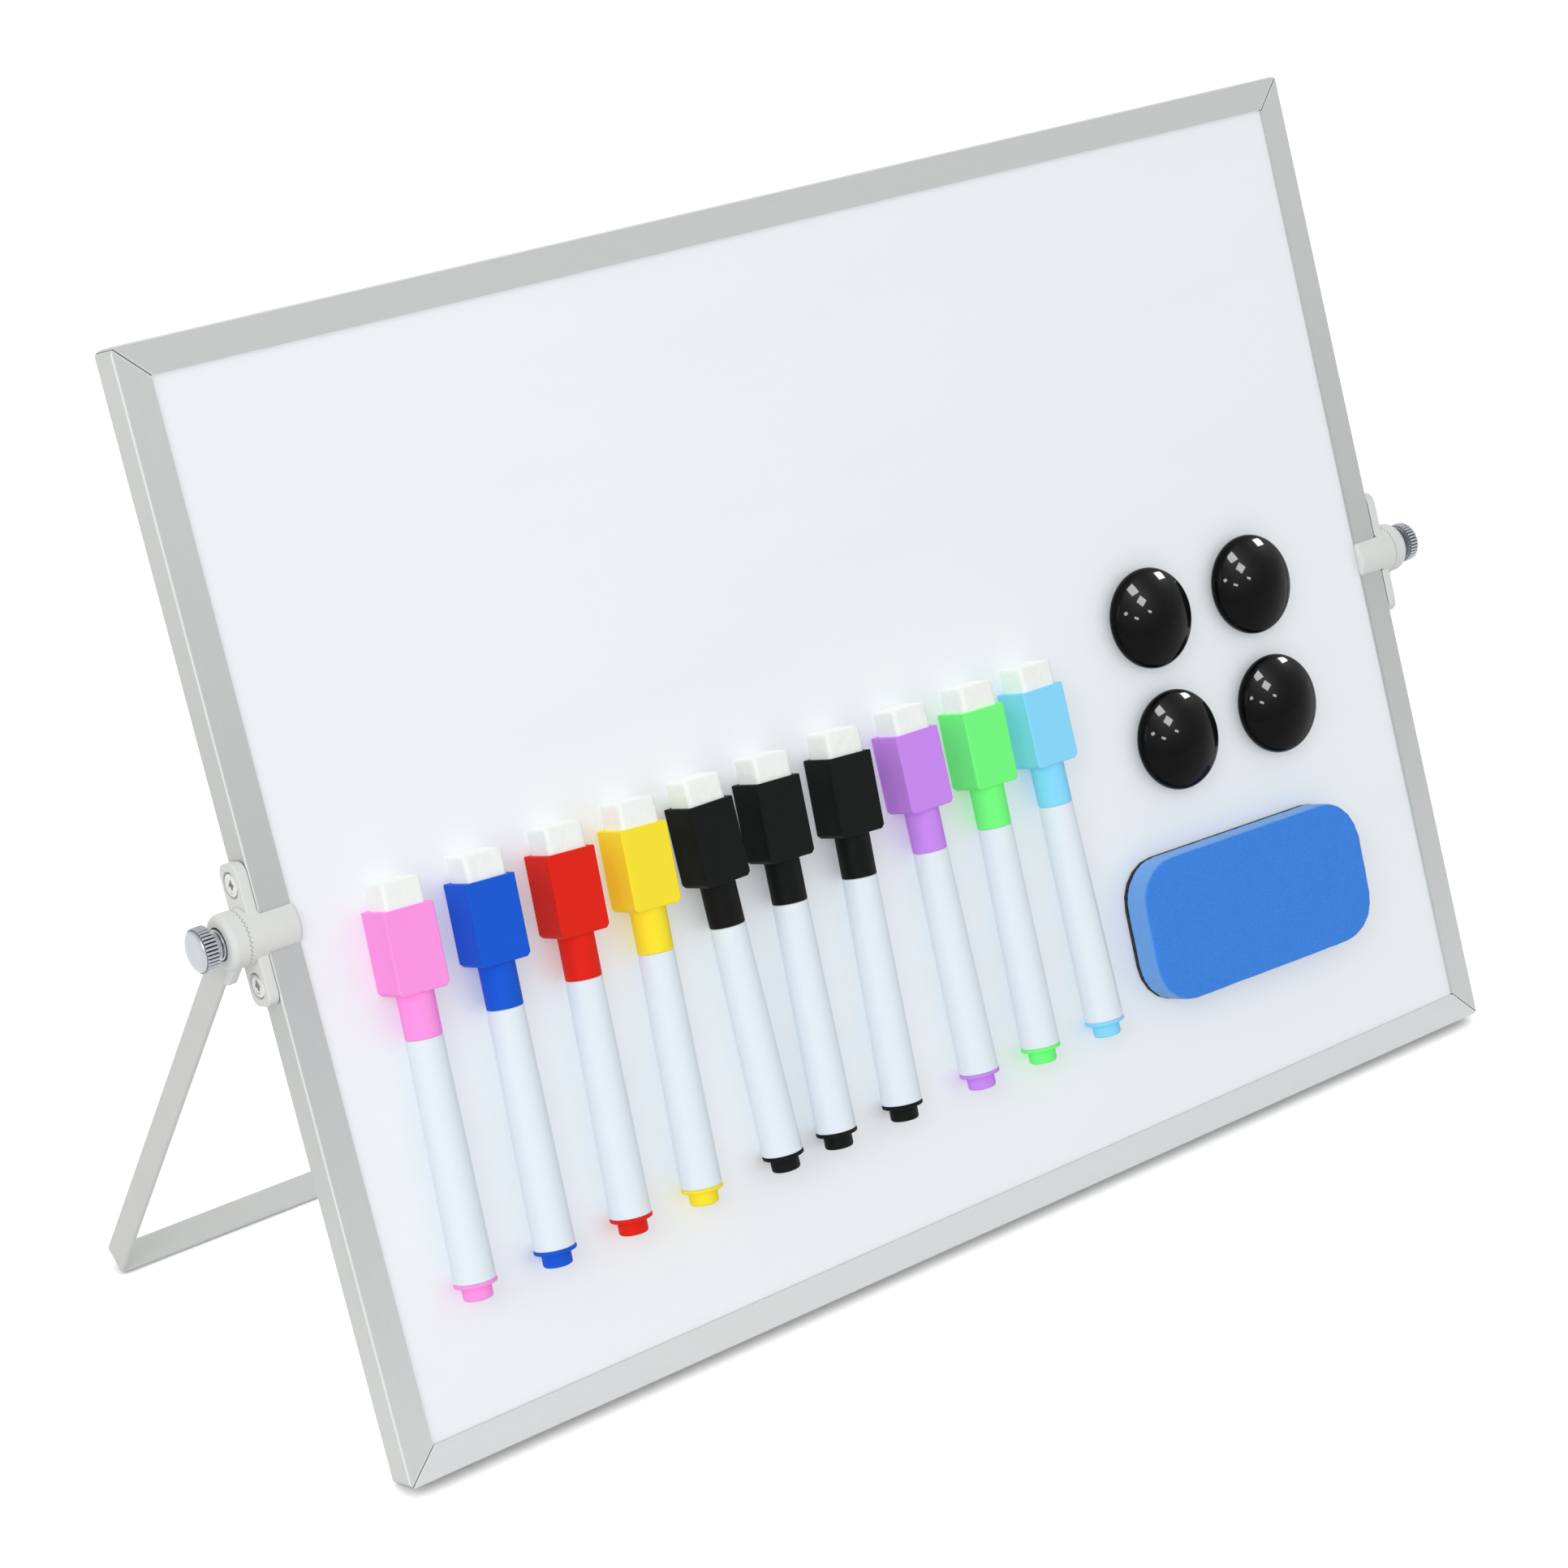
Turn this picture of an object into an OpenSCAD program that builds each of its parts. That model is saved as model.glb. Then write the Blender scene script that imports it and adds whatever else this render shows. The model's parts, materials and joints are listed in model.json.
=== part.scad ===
// Magnetic desk whiteboard on a turning U-shaped stand, with markers, magnets and an eraser.
// Millimetres. +X runs along the board, +Z is up, and the board faces -Y and leans back.
// The origin is on the desk, under the middle of the whole object.

/* [Board] */
// Width of the framed board
board_w = 400; // [320:5:600]
// Height of the framed board
board_h = 300; // [260:5:450]
// How far the board leans back from upright, in degrees
lean = 22; // [8:1:30]
// Depth of the frame at its outer edge
frame_depth = 9.8; // [9:0.2:14]
// How much the rail's face rises from its outer edge to its inner edge
rail_crown = 0.45; // [0.1:0.05:0.8]
// Width of the rail's face
rail_w = 9; // [8:0.5:14]
// Thickness of the rail's outer wall
rail_wall = 1.2; // [0.8:0.1:1.6]
// Radius along the rail's outer edges
rail_edge_r = 0.8; // [0.3:0.1:1.2]
// Radius of the frame's corners
frame_corner_r = 2.5; // [1:0.5:4]
// Hairline between two mitred rails
miter_gap = 0.12; // [0.05:0.01:0.3]
// How far the writing surface lies below the rail's inner edge
sheet_recess = 1.25; // [1:0.05:2]
// Thickness of a steel writing sheet
sheet_t = 0.4; // [0.3:0.05:0.8]
// How far the panel reaches into the rails
panel_bite = 5; // [3:0.5:5.5]
// Length of a corner key's leg
key_leg = 28; // [15:1:40]
// Chamfer at a corner key's outer corner
key_chamfer = 1; // [0.5:0.1:1.5]

/* [Side brackets] */
// Thickness of the flange on the frame's side
flange_t = 3.2; // [2.5:0.1:5]
// How far the flange reaches beyond a screw's head
flange_end = 2.1; // [1.5:0.1:4]
// Corner radius of the flange
flange_corner_r = 3.2; // [2:0.1:4.4]
// Thickness of the saddle over the middle of the rail's face
saddle_t = 2.1; // [1.5:0.1:3]
// Thickness of the saddle at its upper and lower edges
saddle_rim_t = 0.2; // [0.1:0.05:0.4]
// How far the saddle reaches past the rail's inner edge
saddle_reach = 1; // [0.5:0.1:2]
// Radius around the saddle's inner end
saddle_end_r = 1.2; // [0.3:0.1:1.3]
// Gap between the boss and a screw's head
screw_gap = 2.2; // [1.5:0.1:4]
// Diameter of a flange screw's shank
screw_d = 3; // [2.6:0.1:3.5]
// Diameter of a flange screw's head
screw_head_d = 7; // [5:0.1:7.4]
// Length of a flange screw
screw_len = 6.4; // [5.5:0.1:6.6]
// Depth of a screw's cross recess
screw_recess = 1.1; // [0.5:0.1:1.3]
// Width of the recess's two slots
screw_slot_w = 0.9; // [0.6:0.1:1.2]
// Length of the recess's two slots
screw_slot_len = 3.2; // [2:0.1:3.6]

/* [Pivot] */
// Distance of the clutch seam from the board's side
seam_out = 5.2; // [4.5:0.1:8]
// Number of clutch teeth on each face
clutch_teeth = 36; // [12:1:48]
// Height of a clutch tooth
tooth_h = 0.5; // [0.3:0.1:0.8]
// Axial gap between the facing teeth
clutch_gap = 0.2; // [0.15:0.05:0.4]
// Inner radius of the ring of teeth
teeth_inner_r = 5; // [4.5:0.1:6]
// Thickness of the stand's hub
hub_t = 5.2; // [4.8:0.1:8]
// Radius around the hub's outer face
hub_edge_r = 2; // [0.5:0.1:2]
// Gap around the thumbscrew's collar in the hub's recess
collar_gap = 0.3; // [0.1:0.05:0.8]
// Depth of that recess
hub_recess = 2.3; // [1.5:0.1:2.6]

/* [Thumbscrews] */
// Diameter of the thread
thread_d = 4.9; // [3.9:0.1:5.9]
// Diameter of the collar
collar_d = 8.2; // [7:0.1:8.6]
// Length of the collar
collar_len = 2.8; // [1.5:0.1:3]
// Diameter of the waist between the collar and the head
waist_d = 6.2; // [6:0.1:6.8]
// Distance of the head from the hub
head_out = 2.6; // [1.8:0.1:5]
// Diameter of the knurled head
head_d = 12.2; // [10:0.2:18]
// Thickness of the knurled head
head_t = 3.8; // [3:0.1:8]
// Height of the head's plain end disc
head_cap = 0.5; // [0.2:0.1:1]
// How far the end disc lies inside the foot of the knurl
head_cap_step = 0.3; // [0:0.1:1]
// Number of knurl teeth
knurl_n = 40; // [24:1:60]
// Depth of the knurl
knurl_depth = 0.4; // [0.2:0.05:0.6]
// Outer diameter of the threaded insert
insert_d = 7.4; // [7:0.1:9]
// Length of the threaded insert
insert_len = 3.9; // [2.5:0.1:4]
// Distance of the thread's tip from the board's side
tip_gap = 0.3; // [0.2:0.1:1]

/* [Stand] */
// Distance of the legs' outer faces from the board's side
leg_out = 8.5; // [8:0.1:9]
// Width of the flat bar
bar_w = 8.4; // [6:0.2:12]
// Thickness of the flat bar
bar_t = 1.5; // [1:0.1:2]
// Gap between the board's corner and the bar as the board turns over
turn_clearance = 9.3; // [4:0.1:20]
// Outer radius of the bar's two bends
bend_r = 3; // [2.5:0.5:8]
// Distance from the pivot to the top of the bar
bar_top = 6; // [5.5:0.1:7]
// Length of the hub's lug below the pivot
lug_len = 13; // [11:0.5:18]
// Wall of the lug on each side of the bar
lug_wall = 1.9; // [1:0.1:3]
// Corner radius of the lug's end
lug_r = 2.6; // [1:0.1:3]

/* [Markers] */
// Height of the caps' lower edges, counted from the board's middle
marker_v = -38; // [-38:1:-30]
// Width of the cap's block
block_w = 14.9; // [12:0.1:16]
// Depth of the cap's block
block_d = 12.2; // [11.8:0.1:14]
// Height of the cap's block
block_h = 22.3; // [20:0.1:26]
// Radius along the block's upright edges
block_r = 0.8; // [0.3:0.1:1.5]
// Chamfer at the block's lower corners
block_chamfer = 1; // [0.5:0.1:2.2]
// Diameter of the cap's round neck
neck_d = 9.9; // [9.6:0.1:10.8]
// Length of the neck
neck_len = 12; // [9:0.5:16]
// Width of the felt pad
pad_w = 12; // [10:0.1:12.4]
// Depth of the felt pad
pad_d = 10.2; // [8:0.1:10.6]
// Visible height of the felt pad
pad_h = 7.2; // [5:0.1:12]
// Depth of the pad's pocket in the cap
pad_pocket = 2.6; // [1.5:0.1:3.5]
// Length of the barrel
barrel_len = 65; // [50:1:70]
// Diameter of the barrel at the cap
barrel_top_d = 10; // [9.4:0.1:10.8]
// Diameter of the barrel at its far end
barrel_end_d = 11.4; // [10.6:0.1:11.6]
// Inner diameter of the barrel
barrel_bore_d = 8.4; // [7.6:0.1:8.6]
// Thickness of the barrel's closed shoulder at the cap
barrel_shoulder = 6; // [3:0.5:8]
// Chamfer at both ends of the barrel
barrel_chamfer = 0.3; // [0.1:0.1:0.5]
// Diameter of the barrel's spout inside the cap
spout_d = 7; // [6.6:0.1:7.2]
// Length of the spout
spout_len = 7; // [5:0.5:8]
// Diameter of the nib
nib_d = 4; // [3:0.1:4.6]
// How far the nib stands out of the spout
nib_out = 5; // [3:0.5:6]
// Free space around the nib inside the cap
nib_room = 0.5; // [0.2:0.1:0.8]
// Thickness of the end plug's rim
plug_rim = 1; // [0.6:0.1:2]
// How far the rim stands out around the barrel's end
plug_lip = 0.1; // [0:0.05:0.2]
// Diameter of the end plug's stub
plug_d = 8; // [6:0.1:9.5]
// Length of the stub
plug_len = 3.9; // [2:0.1:8]
// How far the plug reaches into the barrel
plug_spigot = 5; // [3:0.5:10]
// Diameter of the magnet in the cap
cap_magnet_d = 8; // [6:0.5:9]
// Thickness of the magnet in the cap
cap_magnet_t = 1.4; // [1:0.1:1.6]

/* [Round magnets] */
// Diameter of a round magnet's housing
magnet_d = 30; // [20:1:34]
// Height of the housing
magnet_h = 9.4; // [8:0.2:14]
// Radius around the housing's rim
magnet_rim_r = 2.8; // [1.5:0.1:2.9]
// Height of the housing's straight foot below the rim
magnet_foot = 0.2; // [0.1:0.1:0.4]
// Diameter of the ferrite disc inside
disc_d = 18; // [10:1:20]
// Thickness of the ferrite disc
disc_t = 3.5; // [2:0.5:4]
// Middle of the four magnets along the board
magnets_u = 123.2; // [110:0.2:135]
// Middle of the four magnets up the board
magnets_v = -14.7; // [-25:0.1:30]
// Spacing of the magnets along the board
magnet_pitch_u = 41.2; // [37:0.2:60]
// Spacing of the magnets up the board
magnet_pitch_v = 37.2; // [36:0.2:60]

/* [Eraser] */
// Width of the eraser
eraser_w = 88; // [60:1:100]
// Height of the eraser
eraser_h = 43; // [30:1:50]
// Thickness of the foam
foam_t = 9; // [5:0.5:20]
// Thickness of the magnetic backing
backing_t = 1; // [0.5:0.1:2]
// Corner radius of the eraser
eraser_r = 13; // [4:0.5:14]
// Middle of the eraser along the board
eraser_u = 114.5; // [112:0.5:128]
// Middle of the eraser up the board
eraser_v = -86.8; // [-92:0.2:-80]
// Tilt of the eraser, in degrees
eraser_tilt = 1.7; // [-3:0.1:3]

/* [Hidden] */
$fn = 64;

// Clearance between pieces that are fixed together
fit_gap = 0.05;
// Radial clearance of a piece that turns or slides in a bore
running_gap = 0.06;
// Flat clearance between an accessory and the writing surface, and between a cap and its barrel
seat_gap = 0.1;
// Small length by which a cutting solid passes the face that it cuts
over = 1;

// Each marker: its colour, its place along the board and its tilt in degrees
MARKERS = [
  ["hotpink", -166.5, 3], ["royalblue", -141.5, 3], ["red", -116.5, 3.4], ["gold", -93, 3.4],
  ["black", -69, 0.2], ["black", -47.5, 2.6], ["black", -23, 3.4],
  ["mediumorchid", 2.6, 1], ["limegreen", 26.6, 1.7], ["skyblue", 49.8, 0.3]
];

frame_t = frame_depth + 2 * rail_crown;
panel_t = frame_t - 2 * sheet_recess;
slot_h = panel_t + 2 * fit_gap;
panel_inset = rail_w - panel_bite;
panel_w = board_w - 2 * panel_inset;
panel_h = board_h - 2 * panel_inset;
surface_y = -panel_t / 2;

// The rail's face slopes, and its outer edge is an arc that touches the face and the side
rail_slope = rail_crown / rail_w;
rail_run = sqrt(1 + rail_slope * rail_slope);
edge_round_y = frame_depth / 2 + rail_edge_r * (rail_slope - rail_run);

side_x = board_w / 2;
seam_x = side_x + seam_out;

// The boss and the saddle are one cylinder around the pivot, which the saddle's height cuts flat
// where the cylinder has come down to the thickness of the saddle's rim
saddle_face = frame_t / 2 + fit_gap;
hub_r = saddle_face + saddle_t;
saddle_h = 2 * sqrt(pow(hub_r, 2) - pow(saddle_face + saddle_rim_t, 2));
screw_offset = hub_r + screw_gap + screw_head_d / 2;
flange_len = 2 * (screw_offset + screw_head_d / 2 + flange_end);
hub_in_x = seam_x + clutch_gap / 2 + tooth_h;
hub_out_x = seam_x + clutch_gap / 2 + hub_t;
collar_in_x = hub_out_x - hub_recess + seat_gap;
head_in_x = hub_out_x + head_out;
head_out_x = head_in_x + head_t + head_cap;
leg_x = side_x + leg_out;
bore_d = thread_d + 2 * running_gap;

// The bar clears the board's corner as the board turns over inside the stand
board_corner_reach = sqrt(pow(board_h / 2, 2) + pow(frame_depth / 2, 2));
bar_reach = board_corner_reach + turn_clearance + bar_t;

// The frame stands on its rounded rear lower edge, and the bar on its front lower edge
pivot_z = edge_round_y * sin(lean) + (board_h / 2 - rail_edge_r) * cos(lean) + rail_edge_r;
foot_reach = sqrt(pow(bar_reach, 2) + pow(bar_w / 2, 2));
foot_angle = atan2(bar_w / 2, bar_reach);
stand_angle = foot_angle + acos(pivot_z / foot_reach);

// Front and rear ends of the whole object, counted from the pivot
front_y = -(edge_round_y * cos(lean) + (board_h / 2 - rail_edge_r) * sin(lean) + rail_edge_r);
rear_y = bar_reach * sin(stand_angle) + bar_w / 2 * cos(stand_angle);
pivot_y = -(front_y + rear_y) / 2;

// Places a piece that is drawn around the board's middle, with the board upright
module on_board() {
  translate([0, pivot_y, pivot_z])
    rotate([-lean, 0, 0])
      children();
}

// Places a piece that is drawn around the pivot, with the stand's legs hanging straight down
module on_stand() {
  translate([0, pivot_y, pivot_z])
    rotate([stand_angle, 0, 0])
      children();
}

// Draws a piece of the right side on both sides
module both_sides() {
  children();
  mirror([1, 0, 0]) children();
}

// Turns a shape drawn along +Z to run along +X
module along_x() {
  rotate([90, 0, 90]) children();
}

module rounded_rectangle(w, h, r) {
  square([w - 2 * r, h], center = true);
  square([w, h - 2 * r], center = true);
  for (sx = [-1, 1], sy = [-1, 1])
    translate([sx * (w / 2 - r), sy * (h / 2 - r)])
      circle(r);
}

// Section of a rail: x runs inward from the outer edge, y across the frame's depth
module rail_section() {
  touch = [rail_edge_r * (1 - rail_slope / rail_run), edge_round_y + rail_edge_r / rail_run];
  difference() {
    union() {
      polygon([
        [0, -edge_round_y], [touch[0], -touch[1]], [rail_w, -frame_t / 2],
        [rail_w, frame_t / 2], [touch[0], touch[1]], [0, edge_round_y]
      ]);
      for (s = [-1, 1])
        translate([rail_edge_r, s * edge_round_y])
          circle(rail_edge_r);
    }
    translate([rail_wall, -slot_h / 2])
      square([rail_w, slot_h]);
  }
}

// A mitred rail along X, its outer edge at z = 0 and its inner edge above
module rail(len) {
  reach = rail_w + over;
  cut = miter_gap / sqrt(2);
  intersection() {
    translate([-len / 2, 0, 0])
      rotate([90, 0, 90])
        linear_extrude(len)
          rotate(90)
            rail_section();
    rotate([90, 0, 0])
      linear_extrude(frame_t + 2 * over, center = true)
        polygon([
          [-len / 2 - over + cut, -over], [len / 2 + over - cut, -over],
          [len / 2 - reach - cut, reach], [-len / 2 + reach + cut, reach]
        ]);
  }
}

module frame_outline() {
  rotate([90, 0, 0])
    linear_extrude(frame_t + 2 * over, center = true)
      rounded_rectangle(board_w, board_h, frame_corner_r);
}

module screw_holes() {
  for (s = [-1, 1])
    translate([side_x - rail_w, 0, s * screw_offset])
      along_x()
        cylinder(h = rail_w + flange_t, d = screw_d + 2 * fit_gap);
}

module top_rail() {
  color("lightgray")
    on_board()
      intersection() {
        translate([0, 0, board_h / 2]) rotate([0, 180, 0]) rail(board_w);
        frame_outline();
      }
}

module bottom_rail() {
  color("lightgray")
    on_board()
      intersection() {
        translate([0, 0, -board_h / 2]) rail(board_w);
        frame_outline();
      }
}

// The right rail, with holes for the bracket's screws
module side_rail() {
  difference() {
    intersection() {
      translate([side_x, 0, 0]) rotate([0, -90, 0]) rail(board_h);
      frame_outline();
    }
    screw_holes();
  }
}

module left_rail() {
  color("lightgray")
    on_board()
      mirror([1, 0, 0]) side_rail();
}

module right_rail() {
  color("lightgray")
    on_board()
      side_rail();
}

// L-shaped keys that hold the mitred corners together inside the rails
module corner_keys() {
  key_t = panel_inset - rail_wall - 2 * fit_gap;
  inset = rail_wall + fit_gap;
  color("dimgray")
    on_board()
      for (sx = [-1, 1], sz = [-1, 1])
        translate([sx * (side_x - inset), 0, sz * (board_h / 2 - inset)])
          rotate([90, 0, 0])
            linear_extrude(slot_h - 2 * fit_gap, center = true)
              scale([-sx, -sz])
                polygon([
                  [key_chamfer, 0], [key_leg, 0], [key_leg, key_t], [key_t, key_t],
                  [key_t, key_leg], [0, key_leg], [0, key_chamfer]
                ]);
}

// Enamelled steel sheets on both faces of the panel
module writing_sheets() {
  color("white")
    on_board()
      for (s = [-1, 1])
        translate([0, s * (panel_t - sheet_t) / 2, 0])
          cube([panel_w, sheet_t, panel_h], center = true);
}

module board_core() {
  color("burlywood")
    on_board()
      cube([panel_w, panel_t - 2 * sheet_t - 2 * fit_gap, panel_h], center = true);
}

// Spokes of a toothed clutch face, in the plane across the pivot
module clutch_spokes(turn) {
  outer_r = hub_r - fit_gap;
  pitch = 360 / clutch_teeth;
  half = pitch / 4;
  for (i = [0 : clutch_teeth - 1])
    rotate(turn + i * pitch)
      polygon([
        [teeth_inner_r * cos(half), -teeth_inner_r * sin(half)],
        [outer_r * cos(half), -outer_r * sin(half)],
        [outer_r * cos(half), outer_r * sin(half)],
        [teeth_inner_r * cos(half), teeth_inner_r * sin(half)]
      ]);
}

// Room for the rail inside the saddle, in the plane of the board's top view
module saddle_room() {
  inner_x = side_x - rail_w;
  end_x = inner_x - saddle_reach - over;
  side_face = saddle_face - rail_slope * (rail_w + fit_gap);
  polygon([
    [end_x, -saddle_face], [inner_x, -saddle_face], [side_x + fit_gap, -side_face],
    [side_x + fit_gap, side_face], [inner_x, saddle_face], [end_x, saddle_face]
  ]);
}

// The cylinder around the rail that the saddle is cut from, rounded at its inner end
module saddle_block() {
  len = rail_w + saddle_reach + flange_t;
  intersection() {
    translate([side_x + flange_t - len, 0, 0])
      along_x()
        rotate_extrude() {
          translate([0, saddle_end_r])
            square([hub_r, len - saddle_end_r]);
          square([hub_r - saddle_end_r, saddle_end_r + fit_gap]);
          translate([hub_r - saddle_end_r, saddle_end_r])
            intersection() {
              circle(saddle_end_r);
              translate([0, -saddle_end_r])
                square([saddle_end_r, saddle_end_r + fit_gap]);
            }
        }
    translate([side_x + flange_t - len / 2, 0, 0])
      cube([len + 2 * over, 2 * hub_r + over, saddle_h], center = true);
  }
}

// One bracket: flange on the frame's side, saddle over the rail and toothed boss
module frame_bracket() {
  boss_face = seam_x - clutch_gap / 2 - tooth_h;
  head_cone = (screw_head_d - screw_d) / 2;
  difference() {
    union() {
      translate([side_x + fit_gap, 0, 0])
        along_x()
          linear_extrude(flange_t - fit_gap)
            rounded_rectangle(frame_depth, flange_len, flange_corner_r);
      saddle_block();
      translate([side_x + fit_gap, 0, 0])
        along_x()
          cylinder(h = boss_face - side_x - fit_gap, r = hub_r);
      translate([boss_face, 0, 0])
        along_x()
          linear_extrude(tooth_h)
            clutch_spokes(0);
    }
    linear_extrude(saddle_h + over, center = true)
      saddle_room();
    translate([side_x - over, 0, 0])
      along_x()
        cylinder(h = insert_len + 2 * fit_gap + over, d = insert_d + 2 * fit_gap);
    translate([side_x, 0, 0])
      along_x()
        cylinder(h = seam_out + over, d = bore_d);
    screw_holes();
    for (s = [-1, 1])
      translate([side_x + flange_t - head_cone - fit_gap, 0, s * screw_offset])
        along_x() {
          cylinder(h = head_cone, d1 = screw_d + 2 * fit_gap, d2 = screw_head_d + 2 * fit_gap);
          translate([0, 0, head_cone])
            cylinder(h = over, d = screw_head_d + 2 * fit_gap);
        }
  }
}

module frame_brackets() {
  color("gainsboro")
    on_board()
      both_sides() frame_bracket();
}

// A countersunk screw with a cross recess, its head flush at x = 0
module countersunk_screw() {
  head_cone = (screw_head_d - screw_d) / 2;
  difference() {
    union() {
      translate([-head_cone, 0, 0])
        along_x()
          cylinder(h = head_cone, d1 = screw_d, d2 = screw_head_d);
      translate([-screw_len, 0, 0])
        along_x()
          cylinder(h = screw_len - head_cone / 2, d = screw_d);
    }
    translate([over / 2 - screw_recess / 2, 0, 0]) {
      cube([screw_recess + over, screw_slot_w, screw_slot_len], center = true);
      cube([screw_recess + over, screw_slot_len, screw_slot_w], center = true);
    }
  }
}

module bracket_screws() {
  color("silver")
    on_board()
      both_sides()
        for (s = [-1, 1])
          translate([side_x + flange_t - fit_gap, 0, s * screw_offset])
            countersunk_screw();
}

// Threaded inserts in the brackets, which the thumbscrews turn in
module insert_nuts() {
  color("goldenrod")
    on_board()
      both_sides()
        translate([side_x + fit_gap, 0, 0])
          along_x()
            difference() {
              cylinder(h = insert_len, d = insert_d);
              translate([0, 0, -over])
                cylinder(h = insert_len + 2 * over, d = bore_d);
            }
}

// Outline of the bent bar: x across the stand, y down its legs
module bar_outline(half_w, reach, r) {
  square([half_w - r, reach]);
  square([half_w, reach - r]);
  translate([half_w - r, reach - r])
    circle(r);
}

module stand_bar() {
  color("whitesmoke")
    on_stand()
      rotate([-90, 0, 0])
        linear_extrude(bar_w, center = true)
          both_sides()
            difference() {
              bar_outline(leg_x, bar_reach, bend_r);
              translate([-over, -over])
                bar_outline(leg_x - bar_t + over, bar_reach - bar_t + over, bend_r - bar_t);
              translate([-over, -over])
                square([leg_x + 2 * over, bar_top + over]);
            }
}

// Outline of the hub's lug, hanging down from the pivot
module lug_outline() {
  w = bar_w + 2 * (lug_wall + fit_gap);
  translate([-w / 2, -lug_len + lug_r])
    square([w, lug_len - lug_r]);
  translate([-w / 2 + lug_r, -lug_len])
    square([w - 2 * lug_r, lug_len]);
  for (s = [-1, 1])
    translate([s * (w / 2 - lug_r), -lug_len + lug_r])
      circle(lug_r);
}

// One hub of the stand: toothed disc with a recess, and a lug that holds the bar.
// At rest its teeth stand half a pitch from the bracket's.
module stand_hub() {
  bar_in_x = leg_x - bar_t;
  difference() {
    union() {
      translate([hub_in_x, 0, 0])
        along_x()
          rotate_extrude() {
            square([hub_r - hub_edge_r, hub_out_x - hub_in_x]);
            square([hub_r, hub_out_x - hub_in_x - hub_edge_r]);
            translate([hub_r - hub_edge_r, hub_out_x - hub_in_x - hub_edge_r])
              intersection() {
                circle(hub_edge_r);
                square(hub_edge_r);
              }
          }
      translate([hub_in_x - tooth_h, 0, 0])
        along_x()
          linear_extrude(tooth_h)
            clutch_spokes(180 / clutch_teeth - stand_angle - lean);
      translate([hub_in_x, 0, 0])
        along_x()
          linear_extrude(leg_x - hub_in_x)
            lug_outline();
    }
    translate([bar_in_x - fit_gap, -bar_w / 2 - fit_gap, -lug_len - over])
      cube([bar_t + 2 * fit_gap, bar_w + 2 * fit_gap, lug_len + over - bar_top + fit_gap]);
    translate([hub_in_x - over, 0, 0])
      along_x()
        cylinder(h = hub_t + 2 * over, d = bore_d);
    translate([hub_out_x - hub_recess, 0, 0])
      along_x()
        cylinder(h = hub_recess + over, d = collar_d + 2 * collar_gap);
  }
}

module stand_hubs() {
  color("gainsboro")
    on_stand()
      both_sides() stand_hub();
}

// A thumbscrew along +X: thread, collar, waist, straight-knurled head and plain end disc
module thumbscrew() {
  head_r = head_d / 2;
  cap_r = head_r - knurl_depth - head_cap_step;
  tip_x = side_x + tip_gap;
  translate([tip_x, 0, 0])
    along_x()
      cylinder(h = collar_in_x - tip_x + fit_gap, d = thread_d);
  translate([collar_in_x, 0, 0])
    along_x() {
      cylinder(h = collar_len, d = collar_d);
      cylinder(h = head_in_x - collar_in_x + fit_gap, d = waist_d);
    }
  translate([head_in_x, 0, 0])
    along_x()
      linear_extrude(head_t)
        polygon([
          for (i = [0 : 2 * knurl_n - 1])
            let (r = i % 2 == 0 ? head_r : head_r - knurl_depth, a = i * 180 / knurl_n)
              [r * cos(a), r * sin(a)]
        ]);
  translate([head_in_x + head_t - fit_gap, 0, 0])
    along_x()
      rotate_extrude() {
        square([cap_r - head_cap, head_cap + fit_gap]);
        square([cap_r, fit_gap]);
        translate([cap_r - head_cap, fit_gap])
          intersection() {
            circle(head_cap);
            square(head_cap);
          }
      }
}

module left_thumbscrew() {
  color("silver")
    on_board()
      mirror([1, 0, 0]) thumbscrew();
}

module right_thumbscrew() {
  color("silver")
    on_board()
      thumbscrew();
}

// Places an accessory on the writing surface: z up the board, y out of its front
module on_surface(u, v, tilt = 0) {
  on_board()
    translate([u, surface_y - seat_gap, v])
      rotate([0, tilt, 0])
        children();
}

// A domed housing with a ferrite disc glued in its base, drawn along +Z
module round_magnet() {
  rim_x = magnet_d / 2 - magnet_rim_r;
  rim_z = magnet_rim_r + magnet_foot;
  rise = magnet_h - rim_z;
  dome_r = (rim_x * rim_x + rise * rise - magnet_rim_r * magnet_rim_r) / (2 * (rise - magnet_rim_r));
  dome_z = magnet_h - dome_r;
  reach = 2 * dome_r;
  aim = atan2(rim_z - dome_z, rim_x);
  difference() {
    rotate_extrude()
      union() {
        translate([rim_x, rim_z])
          circle(magnet_rim_r);
        square([rim_x, rim_z]);
        intersection() {
          translate([0, dome_z])
            circle(dome_r, $fn = 180);
          polygon([
            [0, 0], [rim_x, 0], [rim_x, rim_z],
            [reach * cos(aim), dome_z + reach * sin(aim)], [0, dome_z + reach]
          ]);
        }
      }
    translate([0, 0, -over])
      cylinder(h = disc_t + over + fit_gap, d = disc_d + 2 * fit_gap);
  }
  cylinder(h = disc_t, d = disc_d);
}

module magnet_at(column, row) {
  color("black")
    on_surface(magnets_u + column * magnet_pitch_u / 2, magnets_v + row * magnet_pitch_v / 2)
      rotate([90, 0, 0])
        round_magnet();
}

module magnet_1() {
  magnet_at(-1, 1);
}

module magnet_2() {
  magnet_at(1, 1);
}

module magnet_3() {
  magnet_at(-1, -1);
}

module magnet_4() {
  magnet_at(1, -1);
}

module eraser_backing() {
  color("black")
    on_surface(eraser_u, eraser_v, eraser_tilt)
      rotate([90, 0, 0])
        linear_extrude(backing_t)
          rounded_rectangle(eraser_w, eraser_h, eraser_r);
}

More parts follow.
